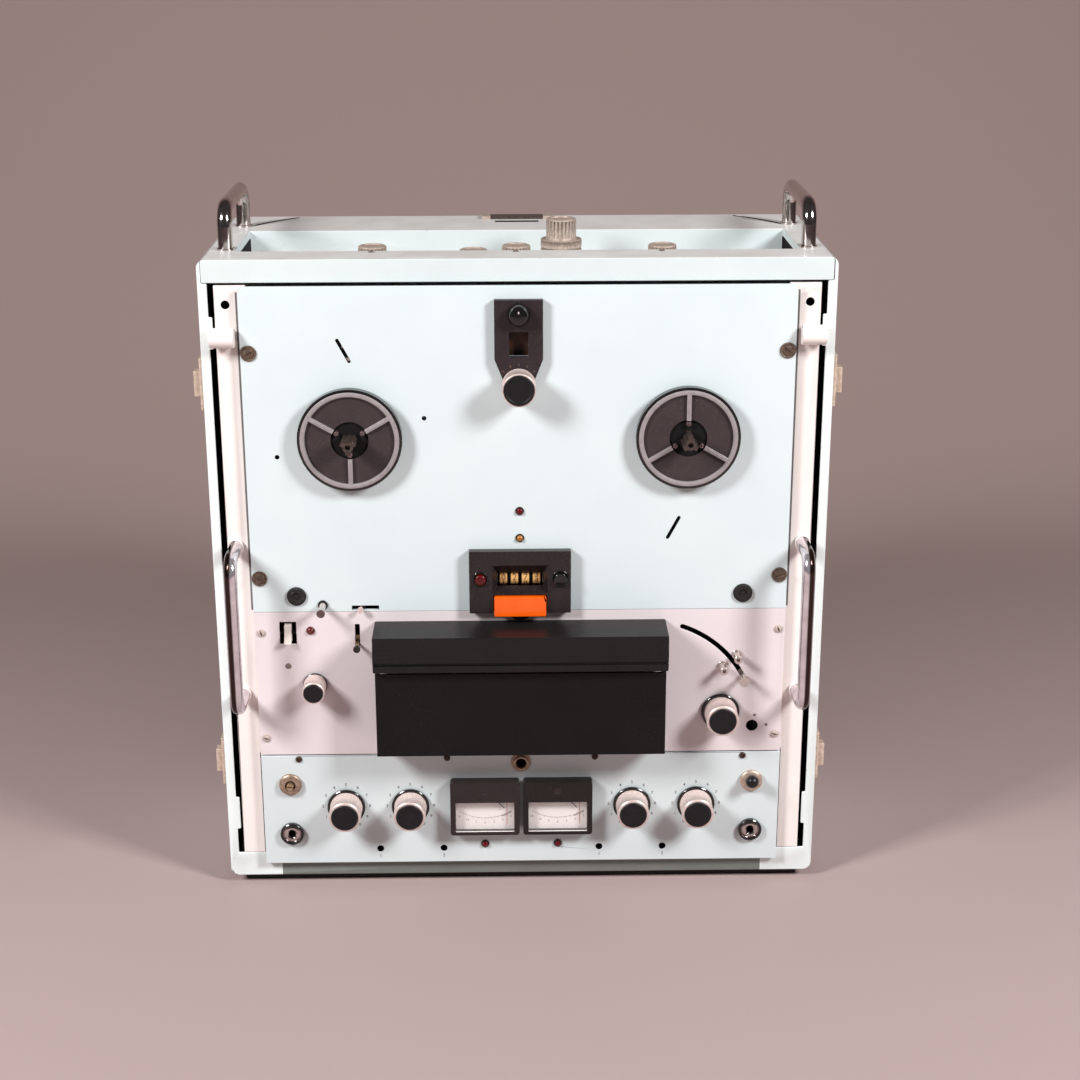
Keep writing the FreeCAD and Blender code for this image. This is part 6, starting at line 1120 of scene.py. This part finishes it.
def scale_tick(across, angle, long, width=0.25):
    """A printed tick that hangs from a meter's arc."""
    middle = spot(across, CARD_FRONT, SCALE_MIDDLE)
    piece = bar("tick", middle + Vector((-width / 2, -0.05, -SCALE - long)) * MM,
                middle + Vector((width / 2, 0, -SCALE)) * MM, 0)
    return around(piece, middle, -angle)


def across_window(name, middle, front, back, low, high):
    """A thin sheet across a meter's window, between two depths."""
    return bar(name, spot(middle - CARD_HALF, front, low), spot(middle + CARD_HALF, back, high), 0)


clear = FINISHES["clear_pane"] = bpy.data.materials.new("clear_pane")
clear.use_nodes = True
tree = clear.node_tree
shader = tree.nodes["Principled BSDF"]
smears = place_group(tree, grain_group, Scale=60.0, Low=0.4, High=0.8)
for kind, low, high in (("Roughness", 0.03, 0.16), ("Alpha", 0.05, 0.1)):
    spread = wire(tree, "MapRange", {"Value": smears, "To Min": low, "To Max": high}).outputs[0]
    tree.links.new(spread, shader.inputs[kind])
shader.inputs["Base Color"].default_value = shade(250, 246, 244)

for sign, side in ((-1, "left"), (1, "right")):
    middle = sign * METER_MIDDLE
    paper = across_window(f"meter_card_{side}", middle, CARD_FRONT, CARD_FRONT + 0.5, WINDOW[0] - 0.4,
                          WINDOW[1] - 0.1)
    settle(paper, "recorder", "card")
    prints = [arc("scale_line", middle, -34, 34, SCALE, 0.3)]
    for index in range(9):
        angle = -32 + 8 * index
        prints.append(scale_tick(middle, angle, 1.8 if index % 2 == 0 else 1.0))
    for index, text in enumerate(("20", "10", "7", "5", "3", "0", "3")):
        angle = math.radians(-30 + 10 * index)
        place = spot(middle + DIGIT_RING * math.sin(angle), CARD_FRONT,
                     SCALE_MIDDLE - DIGIT_RING * math.cos(angle))
        prints.append(number(text, 2.8, place, bold=0.06))
    settle(joined(prints, f"meter_scale_{side}"), "recorder", "grey_ink")
    red_line = bar("red_line", spot(middle + 18.6, CARD_FRONT - 0.05, WINDOW[0] + 4),
                   spot(middle + 19.2, CARD_FRONT, WINDOW[1] - 1.5), 0)
    hot = joined([arc("red_arc", middle, 20, 34, SCALE + 0.9, 0.7), red_line], f"meter_red_{side}")
    settle(hot, "recorder", "red_ink")
    pane = across_window(f"meter_pane_{side}", middle, -15.3, -14.5, WINDOW[0] + 0.1, WINDOW[1] - 0.1)
    settle(pane, "recorder", "clear_pane")
    mark = turned(f"meter_screw_{side}", spot(middle, -16, PIVOT), [
        (-1, 3.2), (0.02, 3.2), (0.12, 3.0), (0.12, 2.6), (0.02, 2.5), (0.02, 0.5)], sides=40, soft=0)
    settle(mark, "recorder", "meter_plastic")
print("meters done")

# %% [markdown]
# Round every gain knob stand the numbers from 0 to 10, thirty degrees apart, in small grey print. Other
# printed words stay off, so the places of the labels are bare.

# %% Numbers round the gain knobs
NUMBER_RING = 20.2
NUMBER_SIZE = 3.8
marks = []
for across in GAINS.values():
    for step in range(11):
        angle = math.radians(-150 + 30 * step)
        place = spot(across + NUMBER_RING * math.sin(angle), PANEL, GAIN_HIGH + NUMBER_RING * math.cos(angle))
        marks.append(number(str(step), NUMBER_SIZE, place, bold=0.05))
for index, across in enumerate((-122.4, -67.4, 67.4, 122.4)):
    marks.append(number(str(index % 2 + 1), NUMBER_SIZE, spot(across, PANEL, 20.6), bold=0.05))
marks = joined(marks, "panel_numbers")
settle(marks, "recorder", "ink")
print("printed numbers, faces:", len(marks.data.polygons))

# %% [markdown]
# Two rubber plugs close holes in the deck. A plate for a strap sits on the rear of the top, with a thin black
# strip in front of it as the painted shade of its slot, and a few small screws show on the top and the head
# panel. They carry nothing that moves, and so are added here.

# %% Plugs, strap plate and small screws
for sign, side in ((-1, "left"), (1, "right")):
    plug = turned(f"deck_plug_{side}", spot(sign * 185.5, PANEL, 262), [
        (-1, 5), (0, 5), (0, 7.6), (0.5, 8.1), (1.6, 7.9), (2.4, 6.8), (2.6, 4.8), (2.2, 3.4), (1.2, 3.0),
        (1.2, 1)], sides=64, soft=0)
    settle(plug, "recorder", "rubber")
TOP = 542.0
plate = bar("strap_plate", spot(-24, 190, TOP - 0.6), spot(24, 204, TOP + 2.4), 0.8)
# Painted shade: a thin black strip on the top stands for the dark of the strap plate's slot.
slot_shade = bar("strap_slot_shade", spot(-19, 175, TOP - 0.6), spot(19, 182, TOP + 0.12), 0)
ends = [bar("plate_end", spot(middle - 4, 189, TOP - 0.6), spot(middle + 4, 205, TOP + 2.9), 0.8)
        for middle in (-27, 27)]
settle(plate, "recorder", "lock_brown")
settle(slot_shade, "recorder", "shadow_black")
settle(joined(ends, "strap_plate_ends"), "recorder", "cap_bronze")
small = []
for across in (-117.7, -1.7, 115.9):
    small.append(turned("rail_screw", spot(across, 30, TOP), [
        (-0.4, 2.0), (0.6, 2.2), (1.2, 1.7), (1.3, 0.6)], sides=24, facing="up", soft=0))
for across, high, radius in ((-194.9, 199.5, 2.5), (199, 151, 1.2), (209, 142, 1.2)):
    small.append(turned("panel_dot", spot(across, PANEL, high), [
        (-0.3, radius), (0.3, radius), (0.6, radius * 0.8), (0.6, radius * 0.3)], sides=24, soft=0))
settle(joined(small, "small_screws"), "recorder", "screw_grey")
print("plugs and strap plate done")

# %% [markdown]
# The room is a plain studio: a pale floor that curves up into the backdrop, so that no line shows where
# they meet. It starts as a plane whose rear edge is extruded upwards and then rounded.

# %% Floor and backdrop
tree = finish("studio_grey", (170, 150, 148), (166, 146, 144), (0.7, 0.85), scale=0.4, dust=0.0,
              bump=0.0).node_tree
# Painted light: the backdrop is given a tone a little apart from the floor's, for the different light on the
# two.
back = wire(tree, "SeparateXYZ", {0: wire(tree, "TexCoord").outputs["Object"]}).outputs["Y"]
lay_over(tree, band(tree, back, 0.1, 1.2), (176, 153, 149))
ROOM = 7.0
BACK = 1.7
only()
bpy.ops.mesh.primitive_plane_add(size=ROOM, location=(0, BACK - ROOM / 2, 0))
room = bpy.context.object
room.name = "studio_floor"
with editing():
    bpy.ops.mesh.select_all(action="DESELECT")
for edge in room.data.edges:
    edge.select = all(room.data.vertices[corner].co.y > 0 for corner in edge.vertices)
with editing("EDGE", False):
    bpy.ops.mesh.extrude_region_move(TRANSFORM_OT_translate={"value": (0, 0, ROOM / 2)})
place_mesh(room)
round_edges(room, 900, segments=16)
dress(room, "studio_grey")
print("floor faces:", len(room.data.polygons))

# %% [markdown]
# Two soft lights stand left and right of the camera, as the crossed shadows of the knobs show, and a weak
# even light fills the rest. Their strength is set so that a white card facing them renders as white.

# %% Lights and camera
LIGHT_PLACE = (1.4, -1.15, 1.45)
LIGHT_WIDTH = 0.42
LIGHT_TALL = 0.6
LIGHT_POWER = 46
AIM = Vector((0, -0.083, -1.2))
for side in (-1, 1):
    lamp = bpy.data.lights.new("studio_light", "AREA")
    lamp.shape = "RECTANGLE"
    lamp.size = LIGHT_WIDTH
    lamp.size_y = LIGHT_TALL
    lamp.energy = LIGHT_POWER
    holder = bpy.data.objects.new("studio_light", lamp)
    holder.location = (side * LIGHT_PLACE[0], LIGHT_PLACE[1], LIGHT_PLACE[2])
    holder.rotation_euler = (AIM - holder.location).to_track_quat("-Z", "Y").to_euler()
    bpy.context.scene.collection.objects.link(holder)

world = bpy.data.worlds.new("studio_fill")
world.use_nodes = True
fill = world.node_tree.nodes["Background"].inputs
fill["Color"].default_value = shade(255, 250, 248)
fill["Strength"].default_value = 0.05
bpy.context.scene.world = world
bpy.context.scene.view_settings.view_transform = "Standard"

LOOK_DOWN = math.radians(18.618)
LOOK_ASIDE = math.radians(0.964)
ROLL = math.radians(-0.13)
ahead = Vector((math.sin(LOOK_ASIDE) * math.cos(LOOK_DOWN), math.cos(LOOK_ASIDE) * math.cos(LOOK_DOWN),
                -math.sin(LOOK_DOWN)))
level = Vector((math.cos(LOOK_ASIDE), -math.sin(LOOK_ASIDE), 0))
upward = level.cross(ahead)
right = level * math.cos(ROLL) + upward * math.sin(ROLL)
up = upward * math.cos(ROLL) - level * math.sin(ROLL)
lens = bpy.data.cameras.new("camera")
lens.lens = 64.8
lens.sensor_width = 36.0
camera = bpy.data.objects.new("camera", lens)
stand = Matrix((right, up, -ahead)).transposed().to_4x4()
stand.translation = (-0.008884, -1.606816, 0.82891)
camera.matrix_world = stand
bpy.context.scene.collection.objects.link(camera)
bpy.context.scene.camera = camera
print("camera at", [round(value, 3) for value in camera.location])
